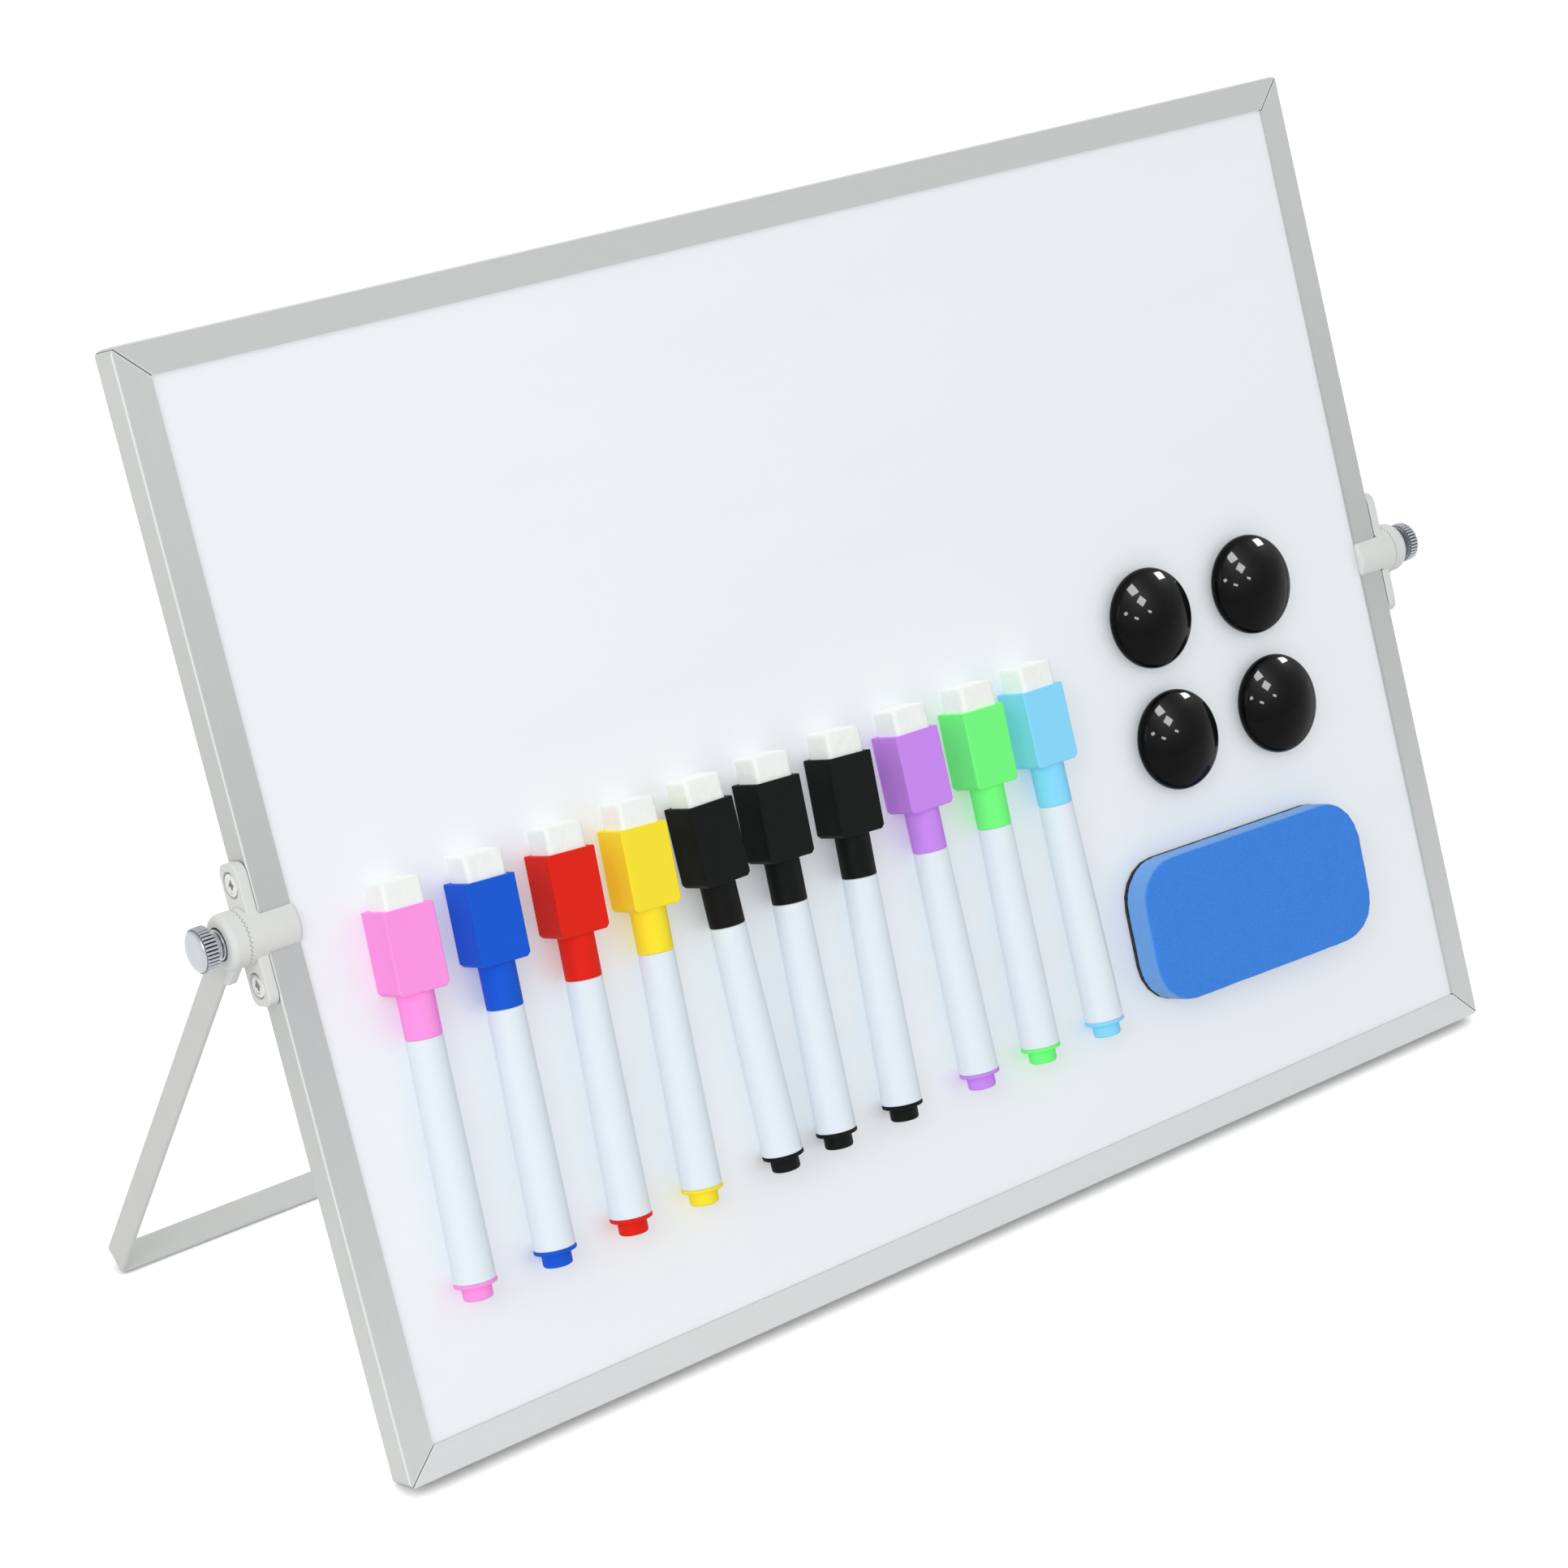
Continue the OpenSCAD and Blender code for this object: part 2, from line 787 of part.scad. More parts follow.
module eraser_foam() {
  color("cornflowerblue")
    on_surface(eraser_u, eraser_v, eraser_tilt)
      rotate([90, 0, 0])
        translate([0, 0, backing_t])
          linear_extrude(foam_t)
            rounded_rectangle(eraser_w, eraser_h, eraser_r);
}

// Places marker i: its axis along z, with the end of its cap's neck at z = 0
module on_marker(i) {
  on_surface(MARKERS[i][1], marker_v, MARKERS[i][2])
    translate([0, -block_d / 2, 0])
      children();
}

// A tapered barrel with a closed shoulder and a spout for the nib
module marker_barrel(i) {
  color("aliceblue")
    on_marker(i)
      difference() {
        union() {
          translate([0, 0, -barrel_len])
            rotate_extrude()
              polygon([
                [0, 0], [barrel_end_d / 2 - barrel_chamfer, 0], [barrel_end_d / 2, barrel_chamfer],
                [barrel_top_d / 2, barrel_len - barrel_chamfer - seat_gap],
                [barrel_top_d / 2 - barrel_chamfer, barrel_len - seat_gap], [0, barrel_len - seat_gap]
              ]);
          translate([0, 0, -barrel_shoulder])
            cylinder(h = barrel_shoulder + spout_len, d = spout_d);
        }
        translate([0, 0, -barrel_len - over])
          cylinder(h = barrel_len + over - barrel_shoulder, d = barrel_bore_d);
        translate([0, 0, -barrel_shoulder - over])
          cylinder(h = barrel_shoulder + spout_len + 2 * over, d = nib_d + 2 * fit_gap);
      }
}

// The end plug, the ink core and the nib, which stay in the barrel
module marker_refill(i) {
  nib_tip = nib_d / 2;
  core_end = -barrel_len + plug_spigot + 3 * fit_gap;
  color(MARKERS[i][0])
    on_marker(i) {
      translate([0, 0, -barrel_len - fit_gap]) {
        cylinder(h = plug_spigot, d = barrel_bore_d - 2 * fit_gap);
        translate([0, 0, -plug_rim])
          cylinder(h = plug_rim, d = barrel_end_d + 2 * plug_lip);
        translate([0, 0, -plug_rim - plug_len])
          cylinder(h = plug_len + plug_rim / 2, d = plug_d);
      }
      translate([0, 0, core_end])
        cylinder(h = -barrel_shoulder - 3 * fit_gap - core_end, d = barrel_bore_d - 4 * fit_gap);
      translate([0, 0, -barrel_shoulder - 2 * fit_gap])
        cylinder(h = barrel_shoulder + spout_len + nib_out - nib_tip, d = nib_d);
      translate([0, 0, spout_len + nib_out - nib_tip - 2 * fit_gap])
        sphere(d = nib_d);
    }
}

// A cap: round neck, square block with the pad's pocket, and a magnet in its back
module marker_cap(i) {
  block_z = neck_len;
  block_top = neck_len + block_h;
  magnet_z = neck_len + block_h / 2;
  socket_d = spout_d + 2 * running_gap;
  nib_room_d = nib_d + 2 * nib_room;
  color(MARKERS[i][0])
    on_marker(i) {
      difference() {
        union() {
          cylinder(h = neck_len + over, d = neck_d);
          intersection() {
            translate([0, 0, block_z])
              linear_extrude(block_h)
                rounded_rectangle(block_w, block_d, block_r);
            rotate([90, 0, 0])
              linear_extrude(block_d + over, center = true)
                polygon([
                  [-block_w / 2 + block_chamfer, block_z], [block_w / 2 - block_chamfer, block_z],
                  [block_w / 2, block_z + block_chamfer], [block_w / 2, block_top],
                  [-block_w / 2, block_top], [-block_w / 2, block_z + block_chamfer]
                ]);
          }
        }
        translate([0, 0, -over])
          cylinder(h = spout_len + seat_gap + over, d = socket_d);
        translate([0, 0, -over])
          cylinder(h = spout_len + nib_out + nib_room + over, d = nib_room_d);
        translate([0, 0, block_top - pad_pocket])
          linear_extrude(pad_pocket + over)
            square([pad_w + 2 * fit_gap, pad_d + 2 * fit_gap], center = true);
        translate([0, block_d / 2 - cap_magnet_t - fit_gap, magnet_z])
          rotate([-90, 0, 0])
            cylinder(h = cap_magnet_t + over, d = cap_magnet_d + 2 * fit_gap);
      }
      translate([0, block_d / 2 - cap_magnet_t, magnet_z])
        rotate([-90, 0, 0])
          cylinder(h = cap_magnet_t, d = cap_magnet_d);
    }
}

module marker_pad(i) {
  base_z = neck_len + block_h - pad_pocket + fit_gap;
  color("ivory")
    on_marker(i)
      translate([0, 0, base_z])
        linear_extrude(pad_h + pad_pocket - fit_gap)
          rounded_rectangle(pad_w, pad_d, block_r);
}

top_rail();
bottom_rail();
left_rail();
right_rail();
corner_keys();
writing_sheets();
board_core();
frame_brackets();
bracket_screws();
insert_nuts();
stand_bar();
stand_hubs();
left_thumbscrew();
right_thumbscrew();
magnet_1();
magnet_2();
magnet_3();
magnet_4();
eraser_foam();
eraser_backing();
for (i = [0 : len(MARKERS) - 1]) {
  marker_barrel(i);
  marker_refill(i);
  marker_cap(i);
  marker_pad(i);
}
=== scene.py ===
"""Looks of the magnetic desk whiteboard easel: its pieces, finishes, studio and camera."""

import json
import math

import bmesh
import bpy
from bpy.props import FloatProperty, FloatVectorProperty, IntProperty, PointerProperty
from mathutils import Matrix, Vector, noise

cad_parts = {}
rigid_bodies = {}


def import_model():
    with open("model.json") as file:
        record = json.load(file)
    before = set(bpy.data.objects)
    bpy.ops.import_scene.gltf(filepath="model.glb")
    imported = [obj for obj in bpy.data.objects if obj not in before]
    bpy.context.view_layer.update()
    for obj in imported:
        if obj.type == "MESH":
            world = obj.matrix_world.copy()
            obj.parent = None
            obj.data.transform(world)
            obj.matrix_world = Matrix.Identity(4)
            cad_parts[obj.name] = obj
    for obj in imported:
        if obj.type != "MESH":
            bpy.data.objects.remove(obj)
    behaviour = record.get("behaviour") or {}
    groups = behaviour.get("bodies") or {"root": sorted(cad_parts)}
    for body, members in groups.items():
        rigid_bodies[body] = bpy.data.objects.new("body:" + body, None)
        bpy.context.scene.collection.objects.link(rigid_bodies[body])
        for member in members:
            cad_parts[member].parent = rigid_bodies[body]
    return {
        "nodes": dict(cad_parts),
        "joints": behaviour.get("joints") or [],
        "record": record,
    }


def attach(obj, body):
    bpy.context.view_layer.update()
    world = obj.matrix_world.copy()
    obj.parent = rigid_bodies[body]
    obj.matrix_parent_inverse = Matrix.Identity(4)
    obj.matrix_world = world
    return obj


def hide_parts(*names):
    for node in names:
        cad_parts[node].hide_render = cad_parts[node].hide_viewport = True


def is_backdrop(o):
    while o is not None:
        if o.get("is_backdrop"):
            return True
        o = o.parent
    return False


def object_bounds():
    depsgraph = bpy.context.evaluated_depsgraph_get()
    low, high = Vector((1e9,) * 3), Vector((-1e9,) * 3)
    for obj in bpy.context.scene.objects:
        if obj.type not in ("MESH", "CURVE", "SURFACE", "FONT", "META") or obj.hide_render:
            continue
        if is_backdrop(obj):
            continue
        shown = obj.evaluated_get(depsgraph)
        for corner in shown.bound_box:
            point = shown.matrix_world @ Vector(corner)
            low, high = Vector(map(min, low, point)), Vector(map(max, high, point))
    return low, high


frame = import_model()

bl_info = {
    "name": "Desk Whiteboard Easel",
    "version": (1, 0, 0),
    "blender": (4, 5, 0),
    "location": "3D View > Sidebar > Easel",
    "description": "Dresses the packed whiteboard easel and sets it in a plain studio",
    "category": "Object",
}

# Forms are worked out in millimetres; Blender's meshes, places and shaders are in metres
MM = 0.001
RIGHT_ANGLE = math.radians(90)
COS_45 = 0.7071
ALONG_X = Matrix(((0, 0, 1, 0), (1, 0, 0, 0), (0, 1, 0, 0), (0, 0, 0, 1)))
SIDES = {side: Matrix.Diagonal((sign, 1, 1, 1)) for side, sign in (("left", -1), ("right", 1))}
MARKERS = range(1, 11)
MAGNETS = range(1, 5)
JOINTS = {joint["name"]: joint for joint in frame["joints"]}
SLOTS = {part["node"]: part["material_slot"] for part in frame["record"]["subparts"]}
OFF_BOARD = JOINTS["eraser_lift"]["axis"]
BOARD_TOP = 280  # height of the board's upper edge over the desk
WIDER = 50  # half of the board's width less half of its height, which the mitres start from
SCREW_Z = 13.2  # height of a bracket's screws over and under the pivot
HUB_R = 7.5
SEAM_X = 205.2  # distance of the clutch's seam from the board's middle
HALF_GAP = 0.08  # distance of each toothed face's mean height from the seam
TEETH = 36
CLUTCH_POINTS = TEETH * 8
WAVE_H, WAVE_STEEPNESS = 0.25, 1.5
RING_R, WELL_R, WELL_DEPTH = 5, 4.9, 0.5  # the ring of waves and the well inside it
PIVOT_BORE_R = 2.52
SHARP = 0.01  # the least radius of a corner


# Places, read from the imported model


def place(origin, up, out=OFF_BOARD):
    """A place at origin whose z axis runs along up and whose -y axis runs along out."""
    z = Vector(up).normalized()
    y = -Vector(out).normalized()
    turn = Matrix((y.cross(z), y, z)).transposed()
    return Matrix.Translation(Vector(origin)) @ turn.to_4x4()


def own_box(node, where):
    """A node's lowest and highest corner along the axes of a place, in millimetres."""
    back = where.inverted()
    spots = [back @ vertex.co / MM for vertex in frame["nodes"][node].data.vertices]
    low = Vector(min(spot[i] for spot in spots) for i in range(3))
    high = Vector(max(spot[i] for spot in spots) for i in range(3))
    return low, high


def board_place():
    """The board's middle: x along the board, -y out of its front, z up its face."""
    up = Vector((1, 0, 0)).cross(-Vector(OFF_BOARD))
    return place(JOINTS["stand_tilt"]["pos_m"], up)


def stand_place():
    """The pivot, with the stand's legs running down along -z."""
    pivot = Vector(JOINTS["stand_tilt"]["pos_m"])
    bar = frame["nodes"]["stand_bar"].data.vertices
    down = sum((vertex.co for vertex in bar), Vector()) / len(bar) - pivot
    down.x = 0
    return place(pivot, -down, Vector((1, 0, 0)).cross(down))


def accessory_place(node, up):
    """The middle of an accessory's back, z out of the board and y along the accessory."""
    turn = place((0, 0, 0), up)
    low, high = own_box(node, turn)
    middle = (low + high) / 2
    origin = turn @ Vector((middle.x, high.y, middle.z)) * MM
    return place(origin, up) @ Matrix.Rotation(RIGHT_ANGLE, 4, "X")


def marker_place(number):
    """A marker's axis along z, with the end of its barrel's body at z = 0."""
    up = JOINTS[f"marker_{number}_cap_pull"]["axis"]
    turn = place((0, 0, 0), up)
    low, high = own_box(f"marker_{number}_cap", turn)
    middle = (low + high) / 2
    return place(turn @ Vector((middle.x, middle.y, low.z)) * MM, up)


def each_marker(part):
    """Every marker's body and its node of one kind, with its place and that node's box."""
    for number in MARKERS:
        node, where = f"marker_{number}_{part}", marker_place(number)
        yield f"marker_{number}", node, where, *own_box(node, where)


BOARD = board_place()
STAND = stand_place()


# Outlines and forms, in millimetres


def softened(corners, inset=0.0, steps=5, closed=True):
    """Points along an outline whose corners are (x, y, radius), with an arc at each corner.

    A closed outline runs anticlockwise, and the inset moves all of it inward.
    """
    points = []
    count = len(corners)
    for i, (x, y, radius) in enumerate(corners):
        if not closed and i in (0, count - 1):
            points.append(Vector((x, y)))
            continue
        here = Vector((x, y))
        before = (here - Vector(corners[i - 1][:2])).normalized()
        after = (Vector(corners[(i + 1) % count][:2]) - here).normalized()
        angle = math.atan2(before.cross(after), before.dot(after))
        side = math.copysign(1, angle)
        inward = Vector((-before.y, before.x))
        reach = (inward + Vector((-after.y, after.x))) / (1 + before.dot(after))
        bend = max(radius - side * inset, SHARP)
        centre = here + reach * (inset + side * bend)
        for step in range(steps + 1):
            turn = Matrix.Rotation(angle * step / steps, 2)
            points.append(centre - turn @ inward * side * bend)
    return points


def box_corners(width, height, radius):
    """The four corners of a rectangle round the origin."""
    x, y = width / 2, height / 2
    return [(-x, -y, radius), (x, -y, radius), (x, y, radius), (-x, y, radius)]


def arc(centre, radius, first, last, steps):
    """Points on an arc, with its angles in degrees."""
    angles = (math.radians(first + (last - first) * k / steps) for k in range(steps + 1))
    return [(centre[0] + radius * math.cos(a), centre[1] + radius * math.sin(a)) for a in angles]


def prism(corners, low, high, low_edge=0.0, high_edge=0.0, steps=3):
    """Rings of a prism along z whose two ends have rounded edges."""
    rings = []
    for end, edge, inward in ((low, low_edge, 1), (high, high_edge, -1)):
        made = []
        for k in range(steps + 1 if edge else 1):
            turn = math.pi / 2 * k / steps
            rise = Vector((0, 0, end + inward * edge * (1 - math.cos(turn))))
            inset = edge * (1 - math.sin(turn))
            made.append([point.to_3d() + rise for point in softened(corners, inset)])
        rings += made[::inward]
    return rings


def around(count, spot):
    """A ring of points round z, whose radius and height a function gives for each number."""
    ring = []
    for i in range(count):
        angle = 2 * math.pi * i / count
        radius, height = spot(i)
        ring.append(Vector((radius * math.cos(angle), radius * math.sin(angle), height)))
    return ring


def lathe(profile, segments):
    """Rings of a body turned round z from (radius, height) points."""
    return [around(segments if point[0] > 1e-6 else 1, lambda i: point) for point in profile]


def turned(corners, segments):
    """Rings of a body turned round z from (radius, height, rounding) corners."""
    return lathe(softened(corners, closed=False), segments)


def pin(radius, low, high, low_edge, high_edge, segments):
    """Rings of a cylinder along z with rounded ends."""
    return turned([(0, low, 0), (radius, low, low_edge), (radius, high, high_edge), (0, high, 0)],
                  segments)


def drill(radius, low, high, segments=32):
    """Rings of a plain cylinder along z."""
    return lathe([(0, low), (radius, low), (radius, high), (0, high)], segments)


def moved(rings, matrix):
    """Rings carried by a matrix."""
    return [[matrix @ point for point in ring] for ring in rings]


def lying(rings):
    """Rings made along z, laid along x."""
    return moved(rings, ALONG_X)


def added(name, data):
    """An object with this data, in the scene."""
    made = bpy.data.objects.new(name, data)
    bpy.context.scene.collection.objects.link(made)
    return made


def form(name, rings, hollow=False):
    """An object skinned over rings of points; a hollow one joins its last ring to its first."""
    mesh = bmesh.new()
    made = [[mesh.verts.new(point * MM) for point in ring] for ring in rings]
    pairs = list(zip(made, made[1:]))
    if hollow:
        pairs.append((made[-1], made[0]))
    for low, high in pairs:
        count = max(len(low), len(high))
        for i in range(count):
            j = (i + 1) % count
            loop = (low[i % len(low)], low[j % len(low)], high[j % len(high)], high[i % len(high)])
            corners = list(dict.fromkeys(loop))
            if len(corners) > 2:
                mesh.faces.new(corners)
    if not hollow:
        for ring in (made[0], made[-1]):
            if len(ring) > 2:
                mesh.faces.new(ring)
    bmesh.ops.recalc_face_normals(mesh, faces=mesh.faces)
    data = bpy.data.meshes.new(name)
    mesh.to_mesh(data)
    mesh.free()
    return added(name, data)


def settle(target):
    """Applies an object's modifiers to its mesh."""
    graph = bpy.context.evaluated_depsgraph_get()
    data = bpy.data.meshes.new_from_object(target.evaluated_get(graph))
    target.modifiers.clear()
    target.data = data
    if not data.polygons:
        raise RuntimeError(f"{target.name} lost its faces")


def carve(target, operation, *shells):
    """Adds closed shells to an object, or cuts them out of it, one after another."""
    for rings in shells:
        tool = form("tool", rings)
        step = target.modifiers.new(operation.lower(), "BOOLEAN")
        step.operation = operation
        step.solver = "MANIFOLD"
        step.object = tool
        settle(target)
        bpy.data.objects.remove(tool)


def ragged(target, cell, depth, bumps):
    """Gives a soft form an even net of small faces and a skin with so many bumps to a metre."""
    net = target.modifiers.new("net", "REMESH")
    net.mode = "VOXEL"
    net.voxel_size = cell * MM
    settle(target)
    normals = [vertex.normal.copy() for vertex in target.data.vertices]
    for vertex, normal in zip(target.data.vertices, normals):
        rough = noise.fractal(vertex.co * bumps, 0.6, 2.0, 3)
        vertex.co += normal * depth * MM * rough


def coat(target, material):
    """Gives an object one material all over."""
    target.data.materials.clear()
    target.data.materials.append(material)


def finish_piece(piece, where, body, material, node=None, crease=32):
    """Sets a piece in its place, on its body, with its finish and smooth shading."""
    if where.determinant() < 0:
        flip = Matrix.Diagonal((-1, 1, 1, 1))
        piece.data.transform(flip)
        piece.data.flip_normals()
        where = where @ flip
    piece.matrix_world = where
    coat(piece, material)
    piece.data.shade_smooth()
    piece.data.set_sharp_from_angle(angle=math.radians(crease))
    even = piece.modifiers.new("even shading", "WEIGHTED_NORMAL")
    even.keep_sharp = True
    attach(piece, body)
    if node:
        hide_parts(node)


def finish_node(node, material):
    """Gives a CAD node its finish."""
    coat(frame["nodes"][node], material)


# Shader maths and finishes


def linear(colour):
    """A display colour as light."""
    return tuple(c / 12.92 if c <= 0.04045 else ((c + 0.055) / 1.055) ** 2.4 for c in colour)


def shaded(colour, share):
    """A display colour as light, with each part scaled by a share and kept under full white."""
    return tuple(min(part * share, 0.95) for part in linear(colour))


class Signal:
    """A number on a shader's wire; arithmetic on it adds Math nodes."""

    def __init__(self, finish, socket):
        self.finish = finish
        self.socket = socket

    def worked(self, operation, first, second):
        """A Math node's result."""
        return self.finish.node("Math", {"operation": operation}, {0: first, 1: second})

    def __add__(self, other):
        return self.worked("ADD", self, other)

    def __radd__(self, other):
        return self.worked("ADD", other, self)

    def __sub__(self, other):
        return self.worked("SUBTRACT", self, other)

    def __rsub__(self, other):
        return self.worked("SUBTRACT", other, self)

    def __mul__(self, other):
        return self.worked("MULTIPLY", self, other)

    def __rmul__(self, other):
        return self.worked("MULTIPLY", other, self)

    def __abs__(self):
        return self.worked("ABSOLUTE", self, 0)


class Finish:
    """The nodes of one material or world."""

    def __init__(self, owner):
        self.owner = owner
        self.owner.use_nodes = True
        self.tree = owner.node_tree
        self.tree.nodes.clear()

    def node(self, kind, settings=None, inputs=None, output=0):
        """Adds a node, sets it up, feeds its sockets and returns one of its outputs."""
        made = self.tree.nodes.new("ShaderNode" + kind)
        for name, value in (settings or {}).items():
            if name == "stops":
                ends = made.color_ramp.elements
                stops = [ends[0], *(ends.new(at) for at, _ in value[1:-1]), ends[len(value) - 1]]
                for stop, (at, shade) in zip(stops, value):
                    stop.position = at
                    stop.color = (shade, shade, shade, 1)
            else:
                setattr(made, name, value)
        for name, value in (inputs or {}).items():
            if isinstance(value, Signal):
                self.tree.links.new(value.socket, made.inputs[name])
            else:
                made.inputs[name].default_value = value
        return Signal(self, made.outputs[output]) if made.outputs else None

    def vector(self, operation, *vectors, output=0):
        """A Vector Math node's result, which is a number at its second output."""
        return self.node("VectorMath", {"operation": operation}, dict(enumerate(vectors)), output)

    def ray(self, kind):
        """1 where a ray of this kind arrives, 0 elsewhere."""
        return self.node("LightPath", output=f"Is {kind} Ray")

    def spot(self, stretch=(1, 1, 1), turn=0.0):
        """Where on the piece a point is, turned about x and stretched."""
        spot = self.node("TexCoord", output="Object")
        if turn:
            inputs = {"Vector": spot, "Angle": turn}
            spot = self.node("VectorRotate", {"rotation_type": "X_AXIS"}, inputs)
        if stretch != (1, 1, 1):
            spot = self.vector("MULTIPLY", spot, stretch)
        return spot

    def cloud(self, size, detail=2.0, spot=None):
        """Noise around 0.5 whose patches are about size millimetres across."""
        inputs = {"Vector": spot or self.spot(), "Scale": 1 / (size * MM), "Detail": detail,
                  "Roughness": 0.6}
        return self.node("TexNoise", inputs=inputs)

    def ramp(self, value, *stops):
        """A value read through the stops of a ramp."""
        return self.node("ValToRGB", {"stops": stops}, {"Fac": value})

    def mix(self, factor, first, second):
        """A colour between two colours."""
        pair = (part if isinstance(part, Signal) else (*part, 1) for part in (first, second))
        # Sockets 6 and 7 of a Mix node are its colours A and B, and output 2 is its colour
        inputs = {0: factor, **dict(zip((6, 7), pair))}
        return self.node("Mix", {"data_type": "RGBA"}, inputs, 2)

    def shades(self, factor, colour, low, high):
        """A colour between two shares of a display colour."""
        return self.mix(factor, shaded(colour, low), shaded(colour, high))

    def along(self, direction):
        """How far the surface faces along a direction, from -1 to 1."""
        facing = self.node("NewGeometry", output="Normal")
        return self.vector("DOT_PRODUCT", facing, direction, output=1)

    def part_of_spot(self, axis):
        """One part of where a point is, of X, Y and Z."""
        return self.node("SeparateXYZ", inputs={0: self.spot()}, output="XYZ".index(axis))

    def off_mitre(self):
        """Distance of a point on the frame from the mitres in its corners, in metres."""
        up = BOARD.col[2].to_3d()
        height = self.vector("DOT_PRODUCT", self.spot(), up, output=1)
        height = abs(height - up.dot(BOARD.translation))
        return abs(abs(self.part_of_spot("X")) - height - WIDER * MM) * COS_45

    def crevice(self, reach):
        """How far a point lies in a crevice about as wide as reach, from 0 to 1, as a mask for
        painted shade.
        """
        open_to = self.node("AmbientOcclusion", {"samples": 6}, {"Distance": reach * MM}, 1)
        return self.ramp(open_to, (0.3, 1.0), (0.62, 0.0))

    def off_axis(self):
        """Distance from the piece's own x axis, in metres."""
        return self.vector("LENGTH", self.spot((0, 1, 1)), output=1)

    def relief(self, height, depth):
        """A bump whose full height is depth millimetres."""
        inputs = {"Strength": 1.0, "Distance": depth * MM, "Height": height}
        return self.node("Bump", inputs=inputs)

    def surface(self, sockets):
        """Ends the material in a Principled shader with these sockets."""
        shader = self.node("BsdfPrincipled", inputs=sockets)
        self.node("OutputMaterial", inputs={"Surface": shader})
        return self.owner


def blank(name):
    """A new material, ready for its nodes."""
    return Finish(bpy.data.materials.new(name))


def moulded_plastic(name, colour, roughness=0.5, specular=0.3, flow_depth=0.03, paint_crevice_shade=False):
    """Moulded plastic: fine grain, faint flow shades, handled patches, optional painted crevice
    shade.
    """
    finish = blank(name)
    fine = finish.cloud(0.22)
    flow = finish.cloud(9, 3.0, finish.spot((1, 1, 0.35)))
    worn_and_highlit = finish.ramp(finish.cloud(5), (0.42, 0.0), (0.68, 1.0))
    skin = finish.shades(flow * 0.6 + fine * 0.4, colour, 1 - flow_depth, 1 + flow_depth)
    # Painted shade: ambient occlusion darkens the colour inside a crevice
    if paint_crevice_shade:
        skin = finish.mix(finish.crevice(1), skin, shaded(colour, 0.3))
    return finish.surface({
        "Base Color": skin,
        "Roughness": roughness + 0.1 * (fine - 0.5) - 0.06 * worn_and_highlit,
        "Specular IOR Level": specular,
        "Normal": finish.relief(fine, 0.012),
    })


def cap_plastic(name, colour):
    """The caps' dull coloured plastic."""
    return moulded_plastic(name, colour, 0.55, 0.1, 0.05)


def lacquered_tube(name, colour):
    """A barrel's even lacquer, with dust-fine specks and a faint ripple along the tube."""
    finish = blank(name)
    specks = finish.cloud(0.3, 2.0)
    ripple = finish.cloud(6, 1.0, finish.spot((1, 1, 0.15)))
    return finish.surface({
        "Base Color": finish.shades(specks * 0.5 + ripple * 0.5, colour, 0.985, 1.01),
        "Roughness": 0.32 + 0.08 * (specks - 0.5),
        "Specular IOR Level": 0.35,
        "Normal": finish.relief(ripple, 0.01),
    })


def satin_aluminium(name, face, side, along):
    """Anodised aluminium: brushed face, plain side, painted highlights on the edges between them.
    """
    finish = blank(name)
    lean = math.atan2(BOARD.col[2].y, BOARD.col[2].z)
    stretch = (0.02, 1, 1) if along == "x" else (1, 1, 0.02)
    lines = finish.cloud(0.16, 2.0, finish.spot(stretch, lean))
    speck = finish.cloud(0.45, 1.0)
    haze = finish.cloud(30, 2.0)
    front = finish.along(tuple(BOARD.col[1][:3]))
    front = front * front
    # Painted highlight: edge is a pale band where the surface turns from the front to the side
    edge = finish.ramp(4 * front * (1 - front), (0.5, 0.0), (0.95, 1.0))
    grain = lines * 0.6 + speck * 0.4
    # Painted light and shade: ends pales faces and sides near the foot and top, darker at
    # mid-height
    height = finish.part_of_spot("Z") * (1 / (BOARD_TOP * MM))
    ends = finish.ramp(height, (0.05, 1.0), (0.5, 0.0), (0.97, 0.8))
    faces = finish.mix(ends, finish.shades(grain, face, 0.92, 1.08),
                       finish.shades(grain, face, 1.12, 1.32))
    sides = finish.mix(ends, finish.shades(grain, side, 0.8, 0.9),
                       finish.shades(grain, side, 1.0, 1.12))
    # The faces and the sides take separately tuned colours, as painted light
    plain = finish.mix(front, sides, faces)
    mitre = finish.off_mitre() * (1 / MM)
    shut = finish.ramp(mitre, (0.1, 1.0), (0.24, 0.0))
    # Paler lines along both sides of each mitre
    mitre_pale_lines = finish.ramp(mitre, (0.2, 0.0), (0.34, 1.0), (0.6, 0.0))
    # Painted highlights on the rounded edges, with the mitres' paler lines, turn the colour pale
    # grey
    worn_and_highlit = finish.mix(0.6 * edge + 0.5 * mitre_pale_lines, plain, (0.86, 0.86, 0.86))
    return finish.surface({
        "Base Color": finish.mix(shut, worn_and_highlit, shaded(face, 0.45)),
        "Metallic": 0.3,
        "Roughness": 0.4 + 0.12 * (lines - 0.5) + 0.08 * (haze - 0.5) - 0.08 * edge,
        "Normal": finish.relief(grain - 8 * shut, 0.006),
    })


def enamel(name, colour):
    """Glossy enamel on sheet steel with a faint skin and traces of wiping."""
    finish = blank(name)
    skin = finish.cloud(2.2, 1.0)
    fine = finish.cloud(0.35, 1.0)
    smears = finish.cloud(22, 3.0, finish.spot((0.25, 1, 1)))
    wiped = finish.ramp(smears, (0.45, 0.0), (0.75, 1.0))
    return finish.surface({
        "Base Color": finish.shades(fine * 0.5 + wiped * 0.5, colour, 1.0, 0.972),
        "Roughness": 0.3 + 0.1 * wiped,
        "Normal": finish.relief(skin, 0.004),
    })


